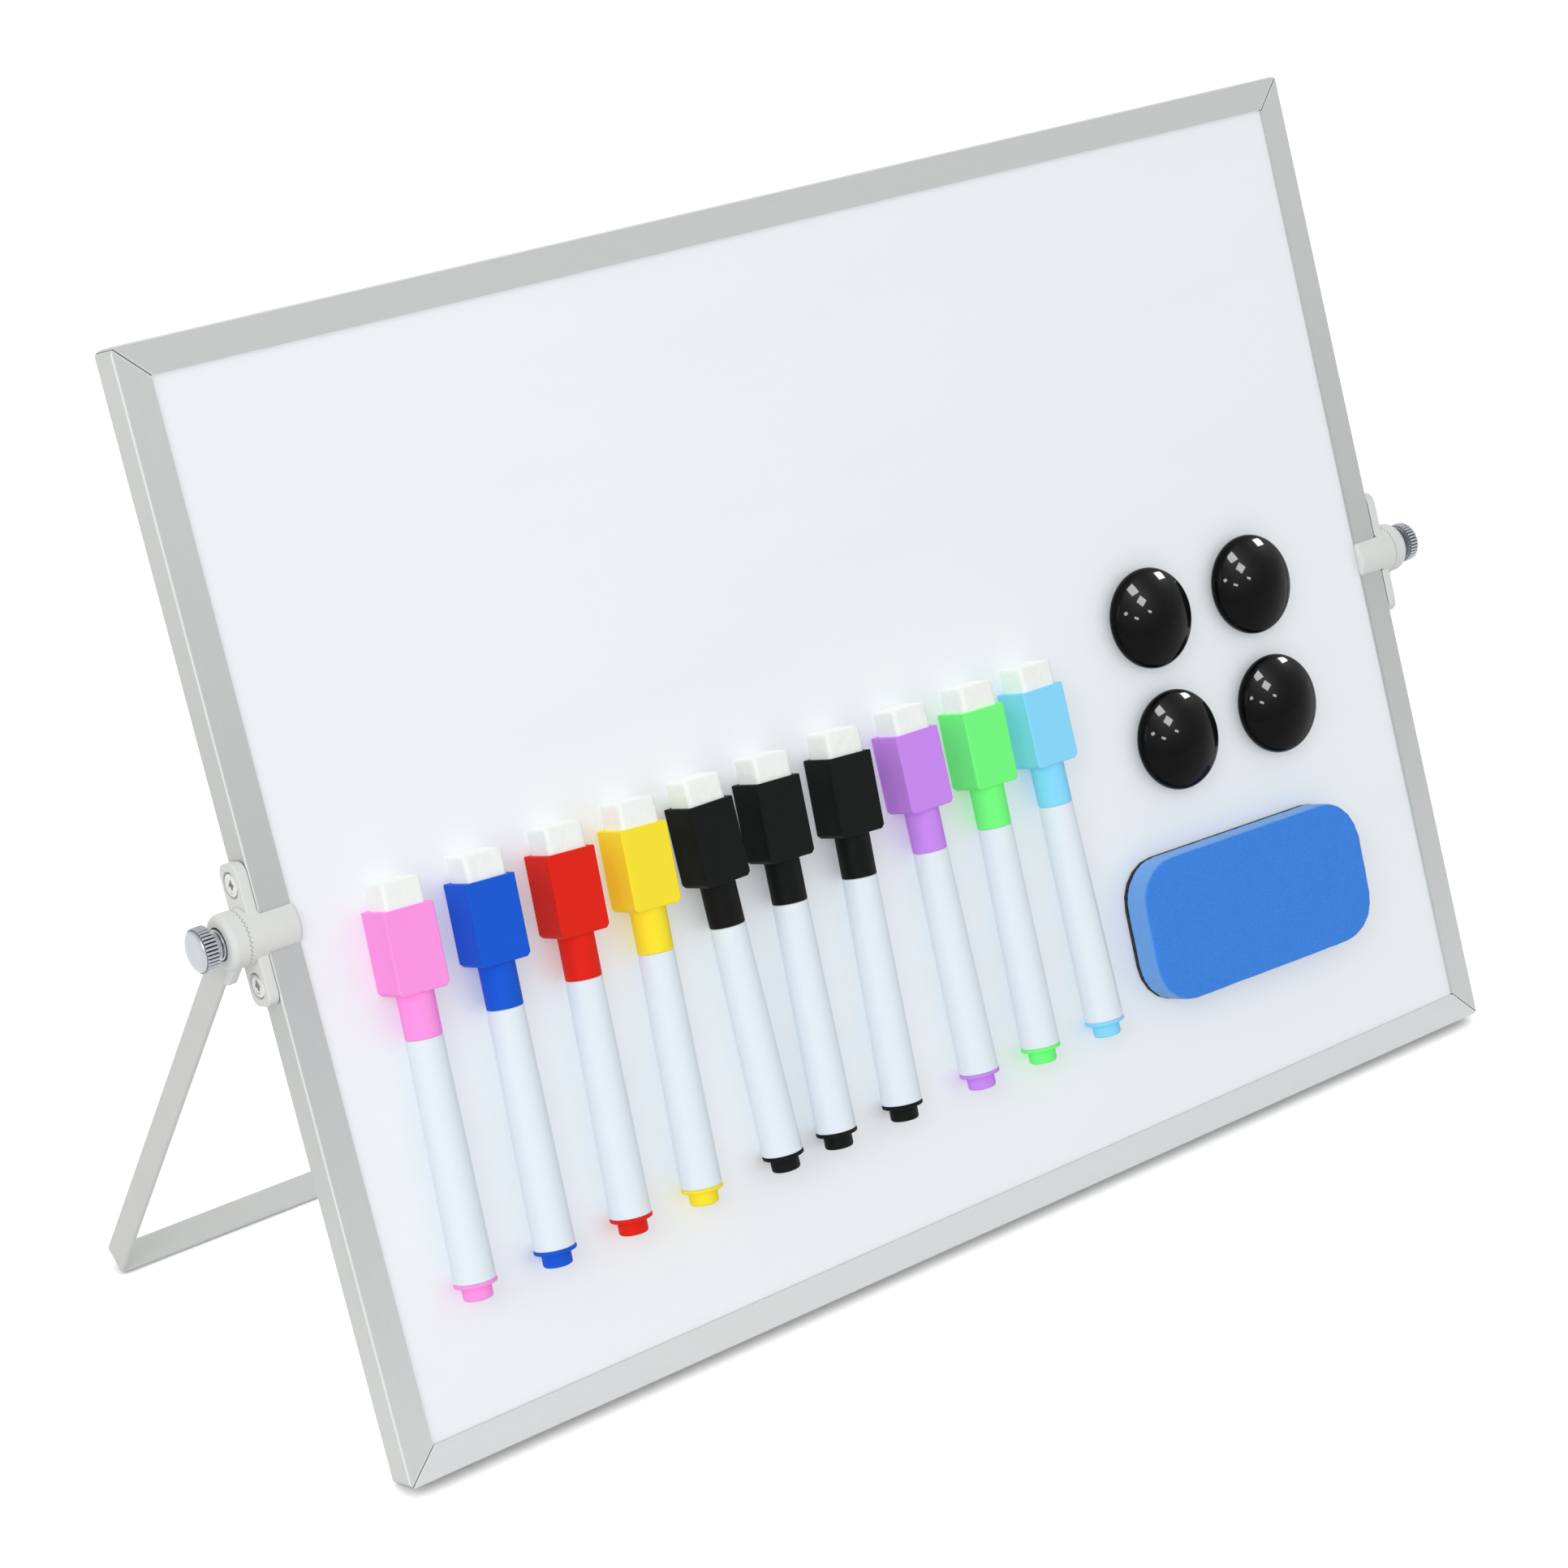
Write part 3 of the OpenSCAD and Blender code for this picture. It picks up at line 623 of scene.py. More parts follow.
def powder_coat(name, colour):
    """Powder coat on steel: small soft bumps all over."""
    finish = blank(name)
    bumps = finish.cloud(0.5, 2.0)
    fade = finish.cloud(14, 2.0)
    return finish.surface({
        "Base Color": finish.shades(fade, colour, 0.96, 1.03),
        "Roughness": 0.4 + 0.12 * (bumps - 0.5),
        "Normal": finish.relief(bumps, 0.02),
    })


def plated_steel(name, colour, roughness):
    """Bright plated steel with faint turning lines and dull spots."""
    finish = blank(name)
    lines = finish.cloud(0.12, 1.0, finish.spot((1, 0.06, 0.06)))
    dull = finish.ramp(finish.cloud(1.6, 3.0), (0.5, 0.0), (0.75, 1.0))
    return finish.surface({
        "Base Color": finish.shades(dull, colour, 1.0, 0.82),
        "Metallic": 1.0,
        "Roughness": roughness + 0.16 * dull + 0.06 * (lines - 0.5),
        "Normal": finish.relief(lines, 0.004),
    })


def knurled_zinc(name, colour):
    """Bright zinc, with painted shade in the knurl's grooves and round the waist behind the head.
    """
    finish = blank(name)
    inner, band = 5 * MM, 1.2 * MM
    radius = (finish.off_axis() - inner) * (1 / band)
    # Painted shade: groove darkens the colour near the bottom of the knurl's ribs
    groove = finish.ramp(radius, (0.33, 0.0), (0.38, 1.0), (0.8, 0.0))
    lines = finish.cloud(0.12, 1.0, finish.spot((1, 0.06, 0.06)))
    speck = finish.cloud(0.5, 3.0)
    bright = finish.shades(speck, colour, 1.05, 0.9)
    return finish.surface({
        "Base Color": finish.mix(groove, bright, shaded(colour, 0.2)),
        "Metallic": 1.0,
        "Roughness": 0.17 + 0.1 * speck + 0.1 * groove + 0.05 * (lines - 0.5),
        "Normal": finish.relief(lines, 0.004),
    })


def polished_black(name, colour):
    """Polished black plastic with a dust-fine haze."""
    finish = blank(name)
    haze = finish.ramp(finish.cloud(3, 4.0), (0.45, 0.0), (0.8, 1.0))
    ripple = finish.cloud(7, 1.0)
    return finish.surface({
        "Base Color": finish.shades(haze, colour, 1.0, 1.6),
        "Roughness": 0.03 + 0.02 * haze,
        "Specular IOR Level": 0.055,
        "Coat Weight": 0.05,
        "Coat Roughness": 0.4,
        "Normal": finish.relief(ripple, 0.003),
    })


# Painted light: paler colours for the eraser's sides and for the pores on them
FOAM_PAINTED_SIDE_LIGHT = (0.45, 0.65, 0.89)
FOAM_PAINTED_SIDE_LIGHT_PORES = (0.35, 0.56, 0.83)


def foam(name, colour):
    """Fine-celled foam: dark pores in a matte skin, with painted light making its sides paler."""
    finish = blank(name)
    cell = 0.7 * MM
    cells = finish.node("TexVoronoi", inputs={"Vector": finish.spot(), "Scale": 1 / cell})
    pores = finish.ramp(cells, (0.1, 1.0), (0.4, 0.0))
    fine = finish.cloud(0.3, 3.0)
    patches = finish.cloud(6, 2.0)
    dark = pores * 0.5 + (1 - fine) * 0.35 + patches * 0.15
    # Painted light: side is 1 on the faces that turn away from the front, which are painted paler
    facing = finish.node("TexCoord", output="Normal")
    side = 1 - abs(finish.node("SeparateXYZ", inputs={0: facing}, output=2))
    skin = finish.shades(dark, colour, 1.08, 0.74)
    pale = finish.mix(dark, linear(FOAM_PAINTED_SIDE_LIGHT), linear(FOAM_PAINTED_SIDE_LIGHT_PORES))
    return finish.surface({
        "Base Color": finish.mix(finish.ramp(side, (0.25, 0.0), (0.85, 1.0)), skin, pale),
        "Roughness": 0.86 + 0.1 * pores,
        "Specular IOR Level": 0.2,
        "Sheen Weight": 0.1,
        "Normal": finish.relief(fine - pores * 0.7, 0.07),
    })


def felt(name, colour):
    """Pressed felt: matted fibres with small soft shadows between them."""
    finish = blank(name)
    fibres = finish.cloud(0.3, 4.0, finish.spot((1, 1, 0.4)))
    tufts = finish.cloud(1.6, 2.0)
    depth = fibres * 0.7 + tufts * 0.3
    return finish.surface({
        "Base Color": finish.shades(depth, colour, 0.93, 1.04),
        "Roughness": 0.9 + 0.1 * (fibres - 0.5),
        "Specular IOR Level": 0.15,
        "Sheen Weight": 0.25,
        "Normal": finish.relief(depth, 0.09),
    })


def fibreboard(name, colour):
    """Pressed wood fibre in thin layers."""
    finish = blank(name)
    fibres = finish.cloud(0.6, 4.0, finish.spot((0.3, 1, 1)))
    flakes = finish.cloud(2.4, 3.0)
    return finish.surface({
        "Base Color": finish.shades(fibres * 0.6 + flakes * 0.4, colour, 0.7, 1.2),
        "Roughness": 0.8 + 0.12 * (fibres - 0.5),
        "Normal": finish.relief(fibres, 0.08),
    })


def matte_rubber(name, colour):
    """Filled magnetic rubber with a dusty bloom."""
    finish = blank(name)
    bloom = finish.ramp(finish.cloud(2.5, 4.0), (0.4, 0.0), (0.75, 1.0))
    grit = finish.cloud(0.2, 2.0)
    return finish.surface({
        "Base Color": finish.shades(bloom, colour, 1.0, 2.2),
        "Roughness": 0.7 + 0.15 * bloom,
        "Normal": finish.relief(grit, 0.02),
    })


# What a user would change


def length_setting(name, description, default, low, high):
    """A length that a user may change, given in millimetres."""
    return FloatProperty(name=name, description=description, default=default * MM,
                         min=low * MM, max=high * MM, unit="LENGTH")


def colour_setting(name, description, *default):
    """A display colour that a user may change."""
    return FloatVectorProperty(name=name, description=description, default=default, size=3,
                               subtype="COLOR_GAMMA", min=0, max=1)


class EaselSizes(bpy.types.PropertyGroup):
    """Sizes that only the looks have."""

    mould_edge: length_setting(
        "Moulded edge", "Radius along the brackets' and hubs' outer edges", 0.5, 0.1, 1.2)
    bar_edge: length_setting(
        "Bar edge", "Radius along the flat bar's four edges", 0.45, 0.1, 0.7)
    cap_edge: length_setting(
        "Cap edge", "Radius along the edges of a cap's block", 0.5, 0.1, 1.0)
    foam_edge: length_setting(
        "Foam edge", "Radius along the eraser's front edge", 1.0, 0.2, 3.0)
    felt_depth: length_setting(
        "Felt unevenness", "How far the felt's skin wanders", 0.09, 0.0, 0.6)
    knurl_teeth: IntProperty(
        name="Knurl teeth", description="Ribs round a thumbscrew's head",
        default=36, min=20, max=60)


class EaselColours(bpy.types.PropertyGroup):
    """Colours as they show on a screen."""

    # Painted light: each rail face gets its own shade of one aluminium, and the sides a paler one
    flat_rail: colour_setting("Top rail", "Brushed face of the top rail", 0.711, 0.718, 0.718)
    foot_rail: colour_setting("Bottom rail", "Brushed face of the bottom rail", 0.754, 0.76, 0.762)
    tall_rail: colour_setting("Side rails", "Brushed faces of the side rails", 0.715, 0.722, 0.723)
    rail_side: colour_setting("Rail sides", "Plain sides of all rails", 0.762, 0.772, 0.762)
    sheet: colour_setting("Writing sheets", "Enamelled writing sheets", 0.93, 0.945, 0.955)
    fitting: colour_setting("Fittings", "Brackets and hubs", 0.845, 0.852, 0.842)
    bar: colour_setting("Stand bar", "Powder coat on the stand's bar", 0.78, 0.785, 0.775)
    plating: colour_setting("Plating", "Plated thumbscrews", 0.72, 0.735, 0.755)
    barrel: colour_setting("Barrels", "Marker barrels", 0.872, 0.905, 0.935)
    felt: colour_setting("Felt", "Felt pads on the caps", 0.94, 0.955, 0.942)
    foam: colour_setting("Foam", "Eraser foam", 0.235, 0.515, 0.88)
    magnet: colour_setting("Magnets", "Magnet housings", 0.015, 0.015, 0.015)


INKS = {
    "marker_pink": (1.0, 0.58, 0.88),
    "marker_blue": (0.09, 0.345, 0.81),
    "marker_red": (0.87, 0.14, 0.09),
    "marker_yellow": (0.96, 0.88, 0.2),
    "marker_black": (0.06, 0.066, 0.064),
    "marker_purple": (0.78, 0.535, 0.93),
    "marker_green": (0.45, 0.99, 0.5),
    "marker_sky": (0.53, 0.84, 1.0),
}

# Display colours of what hardly shows
KEY_GREY = (0.3, 0.3, 0.3)
CORE_TAN = (0.72, 0.6, 0.45)
SCREW_STEEL = (0.82, 0.82, 0.81)
INSERT_BRASS = (0.86, 0.72, 0.42)
FERRITE_GREY = (0.16, 0.16, 0.165)
RUBBER_BLACK = (0.12, 0.12, 0.13)
CAP_MAGNET_STEEL = (0.8, 0.8, 0.8)


class EaselStudio(bpy.types.PropertyGroup):
    """Camera and lamps."""

    camera_spot: FloatVectorProperty(
        name="Camera", description="Where the camera stands",
        default=(-0.59451, -0.73652, 0.58158), size=3, subtype="TRANSLATION", unit="LENGTH")
    camera_turn: FloatVectorProperty(
        name="Camera turn", description="The camera's rotation about x, y and z",
        default=tuple(math.radians(a) for a in (63.842, 0.145, -37.966)), size=3, subtype="EULER")
    lens: FloatProperty(
        name="Lens", description="Focal length in millimetres on a 36 mm sensor", default=84.27)
    sky: FloatProperty(
        name="Sky", description="Strength of the even light from all sides", default=0.62, min=0)
    key: FloatProperty(
        name="Key", description="Power of the large soft lamp", default=48.0, unit="POWER", min=0)
    fill: FloatProperty(
        name="Fill", description="Power of each of the two even lamps in front and behind",
        default=30.0, unit="POWER", min=0)
    window: FloatProperty(
        name="Windows", description="Brightness of the small lamps that the magnets mirror",
        default=95.0, min=0)


# The pieces


def settings():
    """The three groups of settings."""
    scene = bpy.context.scene
    return scene.easel_sizes, scene.easel_colours, scene.easel_studio


class EASEL_OT_rails(bpy.types.Operator):
    """Finish the four aluminium rails and the keys in their corners"""

    bl_idname = "easel.rails"
    bl_label = "Rails"

    def execute(self, context):
        colours = settings()[1]
        side = colours.rail_side
        # Each rail's face colour differs from the others as painted light
        tall = satin_aluminium("side_rail_aluminium", colours.tall_rail, side, "z")
        top = satin_aluminium("top_rail_aluminium", colours.flat_rail, side, "x")
        foot = satin_aluminium("bottom_rail_aluminium", colours.foot_rail, side, "x")
        for rail, metal in (("top", top), ("bottom", foot), ("left", tall), ("right", tall)):
            finish_node(rail + "_rail", metal)
        finish_node("corner_keys", moulded_plastic("corner_key_plastic", KEY_GREY))
        return {"FINISHED"}


class EASEL_OT_panel(bpy.types.Operator):
    """Finish the writing sheets and the core between them"""

    bl_idname = "easel.panel"
    bl_label = "Panel"

    def execute(self, context):
        finish_node("writing_sheets", enamel("white_enamel", settings()[1].sheet))
        finish_node("board_core", fibreboard("core_fibreboard", CORE_TAN))
        return {"FINISHED"}


def wavy_face(height, turn):
    """Rings of a clutch face that waves round the axis, from its rim to its middle."""
    def wave(i):
        angle = 2 * math.pi * i / CLUTCH_POINTS
        steep = WAVE_STEEPNESS * math.sin(TEETH * (angle + turn))
        return height + WAVE_H * max(-1.0, min(1.0, steep))

    return [around(CLUTCH_POINTS, lambda i: (radius, wave(i))) for radius in (HUB_R, RING_R)]


class EASEL_OT_brackets(bpy.types.Operator):
    """Build the two moulded brackets on the board's sides"""

    bl_idname = "easel.brackets"
    bl_label = "Brackets"

    def execute(self, context):
        sizes, colours, _ = settings()
        # Painted shade darkens the bracket moulding in its crevice areas
        plastic = moulded_plastic("bracket_moulding", colours.fitting, paint_crevice_shade=True)
        side_x, flange_x, saddle_x, rail_x, inner_x = 200.05, 203.2, 190, 191, 188
        rail_y, side_y, half_h, well_x = 5.4, 4.95, 5, SEAM_X - WELL_DEPTH
        flange_w, flange_len, flange_r, insert_r = 9.8, 37.6, 3.2, 3.75
        block = turned([
            (0, saddle_x, 0), (HUB_R, saddle_x, 1.2), (HUB_R, flange_x, 0.05), (0, flange_x, 0)],
            144)
        waist = prism(box_corners(30, 20, 1), -half_h, half_h, 0.1, 0.1)
        waist = moved(waist, Matrix.Translation((199, 0, 0)))
        flange = prism(box_corners(flange_w, flange_len, flange_r), side_x + 0.05, flange_x,
                       0.35, sizes.mould_edge / MM)
        boss = lathe([(0, side_x), (HUB_R, side_x)], CLUTCH_POINTS)
        boss += wavy_face(SEAM_X - HALF_GAP, 0)
        boss += lathe([(WELL_R, well_x), (0, well_x)], CLUTCH_POINTS)
        room = prism([
            (inner_x, -rail_y, 0.1), (rail_x, -rail_y, 0.1), (side_x, -side_y, 0.1),
            (side_x, side_y, 0.1), (rail_x, rail_y, 0.1), (inner_x, rail_y, 0.1)], -9, 9)
        sink = lying(turned([
            (0, 199, 0), (1.6, 199, 0), (1.6, 200.9, 0.1), (3.62, 202.8, 0.1),
            (3.62, 203.1, 0.05), (3.8, 206, 0.1), (0, 206, 0)], 56))
        cuts = [room, lying(drill(PIVOT_BORE_R, 190, 210)), lying(drill(insert_r, 199, 204))]
        cuts += [moved(sink, Matrix.Translation((0, 0, z))) for z in (-SCREW_Z, SCREW_Z)]
        for side, mirror in SIDES.items():
            bracket = form(f"{side}_frame_bracket", lying(block))
            carve(bracket, "INTERSECT", waist)
            carve(bracket, "UNION", lying(flange), lying(boss))
            carve(bracket, "DIFFERENCE", *cuts)
            finish_piece(bracket, BOARD @ mirror, "board", plastic,
                         "frame_brackets")
        return {"FINISHED"}


class EASEL_OT_fasteners(bpy.types.Operator):
    """Build the bracket screws and finish the threaded inserts"""

    bl_idname = "easel.fasteners"
    bl_label = "Fasteners"

    def execute(self, context):
        steel = plated_steel("screw_plating", SCREW_STEEL, 0.34)
        head_x, recess, turn_per_mm = 203.15, -1.1, 0.6
        shape = turned([
            (0, -6.4, 0), (1.5, -6.4, 0.2), (1.5, -1.95, 0.1), (3.24, -0.25, 0.1),
            (2.95, 0, 0.3), (2.2, 0, 0.1), (2, -0.16, 0.15), (0, -0.1, 0)], 48)
        blades = (0.75, 2.7), (2.7, 0.75)
        cuts = [prism(box_corners(*blade, 0.15), recess, 1) for blade in blades]
        cuts.append(lathe([(0, -1.3), (0.75, -0.9), (1.1, 0.5), (0, 0.5)], 24))
        for side, mirror in SIDES.items():
            for level, height in (("upper", SCREW_Z), ("lower", -SCREW_Z)):
                screw = form(f"{side}_{level}_screw", shape)
                carve(screw, "DIFFERENCE", *cuts)
                spot = Matrix.Translation((head_x * MM, 0, height * MM))
                turn = Matrix.Rotation(turn_per_mm * height, 4, "Z")
                where = BOARD @ mirror @ spot @ ALONG_X @ turn
                finish_piece(screw, where, "board", steel, "bracket_screws")
        finish_node("insert_nuts", plated_steel("insert_brass", INSERT_BRASS, 0.3))
        return {"FINISHED"}


class EASEL_OT_hubs(bpy.types.Operator):
    """Build the stand's two toothed hubs"""

    bl_idname = "easel.hubs"
    bl_label = "Hubs"

    def execute(self, context):
        sizes, colours, _ = settings()
        # Painted shade darkens the hub moulding in its crevice areas
        plastic = moulded_plastic("hub_moulding", colours.fitting, paint_crevice_shade=True)
        disc_x, lug_x, out_x, edge_r, well_x = 205.8, 208.5, 210.5, 2, SEAM_X + WELL_DEPTH
        lug_w, lug_foot, lug_r, groove_x, groove_w, groove_len = 6.15, -13, 2.6, 207.75, 1.6, 8.5
        lean = math.atan2(BOARD.col[1].z, BOARD.col[1].y)
        swing = math.atan2(STAND.col[1].z, STAND.col[1].y)
        disc = lathe([(0, well_x), (WELL_R, well_x)], CLUTCH_POINTS)
        disc += wavy_face(SEAM_X + HALF_GAP, swing - lean)[::-1]
        disc += lathe(arc((HUB_R - edge_r, out_x - edge_r), edge_r, 0, 90, 8) + [(0, out_x)],
                      CLUTCH_POINTS)
        lug = prism([
            (-lug_w, 0, 0.1), (-lug_w, lug_foot, lug_r), (lug_w, lug_foot, lug_r),
            (lug_w, 0, 0.1)], disc_x, lug_x, 0.3, sizes.mould_edge / MM)
        recess = turned([
            (0, 208.2, 0), (4.4, 208.2, 0.2), (4.4, 210.3, 0.1), (4.9, 211, 0.1), (0, 211, 0)], 64)
        groove = prism(box_corners(groove_w, groove_len, 0.05), -6, 4.05)
        groove = moved(groove, Matrix.Translation((groove_x, 0, -10)))
        for side, mirror in SIDES.items():
            hub = form(f"{side}_stand_hub", lying(disc))
            carve(hub, "UNION", lying(lug))
            carve(hub, "DIFFERENCE", lying(drill(PIVOT_BORE_R, 200, 212)), lying(recess), groove)
            finish_piece(hub, STAND @ mirror, "stand", plastic, "stand_hubs")
        return {"FINISHED"}


class EASEL_OT_bar(bpy.types.Operator):
    """Bend the stand's flat bar"""

    bl_idname = "easel.bar"
    bl_label = "Stand bar"

    def execute(self, context):
        sizes, colours, _ = settings()
        low, high = own_box("stand_bar", STAND)
        thick, bend, steps = 1.5, 3, 8
        middle_x, middle_z = high.x - thick / 2, low.z + thick / 2
        radius = bend - thick / 2
        path = [(Vector((-middle_x, 0, high.z)), 0.0)]
        for start, x in ((0, -middle_x + radius), (90, middle_x - radius)):
            for k in range(steps + 1):
                turn = math.radians(start + 90 * k / steps)
                spoke = Vector((-math.cos(turn), 0, -math.sin(turn)))
                path.append((Vector((x, 0, middle_z + radius)) + spoke * radius, turn))
        path.append((Vector((middle_x, 0, high.z)), math.pi))
        section = softened(box_corners(thick, high.y - low.y, sizes.bar_edge / MM), steps=4)
        rings = []
        for spot, turn in path:
            across = Vector((math.cos(turn), 0, math.sin(turn)))
            rings.append([spot + across * point.x + Vector((0, point.y, 0)) for point in section])
        paint = powder_coat("bar_powder_coat", colours.bar)
        bar = form("stand_flat_bar", rings)
        finish_piece(bar, STAND, "stand", paint, "stand_bar")
        return {"FINISHED"}


class EASEL_OT_thumbscrews(bpy.types.Operator):
    """Turn the two knurled thumbscrews"""

    bl_idname = "easel.thumbscrews"
    bl_label = "Thumbscrews"

    def execute(self, context):
        sizes, colours, _ = settings()
        steel = knurled_zinc("thumbscrew_plating", colours.plating)
        tip_x, collar_x, lip_x, head_x, rim_x, end_x = 200.3, 208.3, 211.1, 213.1, 216.9, 217.4
        shank = turned([
            (0, tip_x, 0), (2.45, tip_x, 0.3), (2.45, collar_x, 0.05), (4.1, collar_x, 0.2),
            (4.1, lip_x, 0.4), (3.1, lip_x, 0.3), (3.1, head_x + 0.4, 0.05),
            (0, head_x + 0.4, 0)], 64)
        crest, root, chamfer, per_tooth = 6.1, 5.42, 0.45, 8
        count = sizes.knurl_teeth * per_tooth

        def rib(i):
            return (crest - root) * math.sin(math.pi * (i % per_tooth) / per_tooth) ** 0.6

        rings = [[Vector((0, 0, head_x))]]
        for height, share, radius in (
                (head_x, 0, 4.6), (head_x, 0, root - 0.25), (head_x + chamfer * 0.6, 0.45, root),
                (head_x + chamfer, 1, root), (rim_x - chamfer, 1, root),
                (rim_x - chamfer * 0.5, 0.45, root), (rim_x, 0, root - 0.04),
                (rim_x + 0.15, 0, 5.3), (end_x - 0.12, 0, 5.15), (end_x, 0, 4.85),
                (end_x - 0.1, 0, 2.5)):
            rings.append(around(count, lambda i: (radius + share * rib(i), height)))
        rings.append([Vector((0, 0, end_x - 0.12))])
        for side, mirror in SIDES.items():
            screw = form(f"{side}_knurled_thumbscrew", lying(rings))
            carve(screw, "UNION", lying(shank))
            name = f"{side}_thumbscrew"
            finish_piece(screw, BOARD @ mirror, name, steel, name, crease=38)
        return {"FINISHED"}


class EASEL_OT_magnets(bpy.types.Operator):
    """Turn the four domed magnets and the ferrite discs in their backs"""

    bl_idname = "easel.magnets"
    bl_label = "Magnets"

    def execute(self, context):
        black = polished_black("magnet_polish", settings()[1].magnet)
        ferrite = matte_rubber("ferrite", FERRITE_GREY)
        rim_r, foot, pocket_r, pocket, disc_r, disc_t = 2.8, 0.2, 9.05, 3.55, 9, 3.5
        for number in MAGNETS:
            node = f"magnet_{number}"
            where = accessory_place(node, BOARD.col[2].to_3d())
            low, high = own_box(node, where)
            radius, height = (high.x - low.x) / 2, high.z
            rim_x, rim_z = radius - rim_r, rim_r + foot
            rise = height - rim_z
            dome_r = (rim_x**2 + rise**2 - rim_r**2) / (2 * (rise - rim_r))
            meet = math.degrees(math.atan2(rim_z - height + dome_r, rim_x))
            profile = [(0, pocket), (pocket_r, pocket), (pocket_r, 0), (rim_x, 0)]
            profile += arc((rim_x, rim_z), rim_r, -90, meet, 18)
            profile += arc((0, height - dome_r), dome_r, meet, 90, 28)[1:-1] + [(0, height)]
            dome = form(f"{node}_dome", lathe(profile, 128))
            finish_piece(dome, where, node, black, node)
            disc = form(f"{node}_disc", pin(disc_r, 0, disc_t, 0.3, 0.3, 64))
            finish_piece(disc, where, node, ferrite)
        return {"FINISHED"}


class EASEL_OT_eraser(bpy.types.Operator):
    """Cut the foam eraser and the magnetic sheet behind it"""

    bl_idname = "easel.eraser"
    bl_label = "Eraser"

    def execute(self, context):
        sizes, colours, _ = settings()
        tilt, corner_r = math.radians(1.7), 13
        up = BOARD.to_3x3() @ Vector((math.sin(tilt), 0, math.cos(tilt)))
        where = accessory_place("eraser_backing", up)
        low, high = own_box("eraser_foam", where)
        corners = box_corners(high.x - low.x, high.y - low.y, corner_r)
        block = prism(corners, low.z + 0.02, high.z, 0.4, sizes.foam_edge / MM, 5)
        block = form("eraser_foam_block", block)
        ragged(block, cell=0.75, depth=0.1, bumps=160)
        finish_piece(block, where, "eraser", foam("blue_foam", colours.foam),
                     "eraser_foam", crease=60)
        backing = form("eraser_magnetic_sheet", prism(corners, 0, low.z, 0.15, 0.15))
        rubber = matte_rubber("magnetic_sheet_rubber", RUBBER_BLACK)
        finish_piece(backing, where, "eraser", rubber, "eraser_backing")
        return {"FINISHED"}


class EASEL_OT_barrels(bpy.types.Operator):
    """Turn the markers' barrels"""

    bl_idname = "easel.barrels"
    bl_label = "Barrels"

    def execute(self, context):
        plastic = lacquered_tube("barrel_lacquer", settings()[1].barrel)
        bore_r, hole_r, spout_r, top_r = 4.2, 2.05, 3.5, 5
        shoulder, neck, fine, small = -6, -0.1, 0.35, 0.15
        for body, node, where, low, high in each_marker("barrel"):
            corners = [
                (bore_r, low.z, small), ((high.x - low.x) / 2, low.z, fine), (top_r, neck, fine),
                (spout_r, neck, small), (spout_r, high.z, 0.6), (hole_r, high.z, small),
                (hole_r, shoulder, small), (bore_r, shoulder, small)]
            tube = form(body + "_tube", lathe(softened(corners, steps=4), 56), hollow=True)
            finish_piece(tube, where, body, plastic, node)
        return {"FINISHED"}


def ink_finishes(build, prefix):
    """One material for each marker colour."""
    return {slot: build(f"{prefix}_{slot}", colour) for slot, colour in INKS.items()}


def wet_fibre(name, colour):
    """A felt tip soaked with ink."""
    return felt(name, tuple(part * 0.8 for part in colour))


class EASEL_OT_refills(bpy.types.Operator):
    """Turn the markers' end plugs, ink cores and nibs"""

    bl_idname = "easel.refills"
    bl_label = "Plugs and nibs"

    def execute(self, context):
        plastics = ink_finishes(cap_plastic, "plug")
        fibres = ink_finishes(wet_fibre, "ink")
        stub_r, rim_r, spigot_r, rim, end, spigot = 4, 5.8, 4.15, -66.05, -65.05, -60.05
        core_r, core_low, core_high, nib_r, nib_low = 4.1, -59.85, -6.15, 2, -6.1
        core = pin(core_r, core_low, core_high, 0.4, 0.4, 32)
        for body, node, where, low, high in each_marker("refill"):
            slot = SLOTS[node]
            plug = turned([
                (0, low.z, 0), (stub_r, low.z, 0.7), (stub_r, rim, 0.25), (rim_r, rim, 0.3),
                (rim_r, end, 0.15), (spigot_r, end, 0.05), (spigot_r, spigot, 0.4),
                (0, spigot, 0)], 56)
            finish_piece(form(body + "_plug", plug), where, body, plastics[slot], node)
            finish_piece(form(body + "_ink_core", core), where, body, fibres[slot])
            nib = form(body + "_nib", pin(nib_r, nib_low, high.z, 0.3, 1.5, 32))
            finish_piece(nib, where, body, fibres[slot])
        return {"FINISHED"}


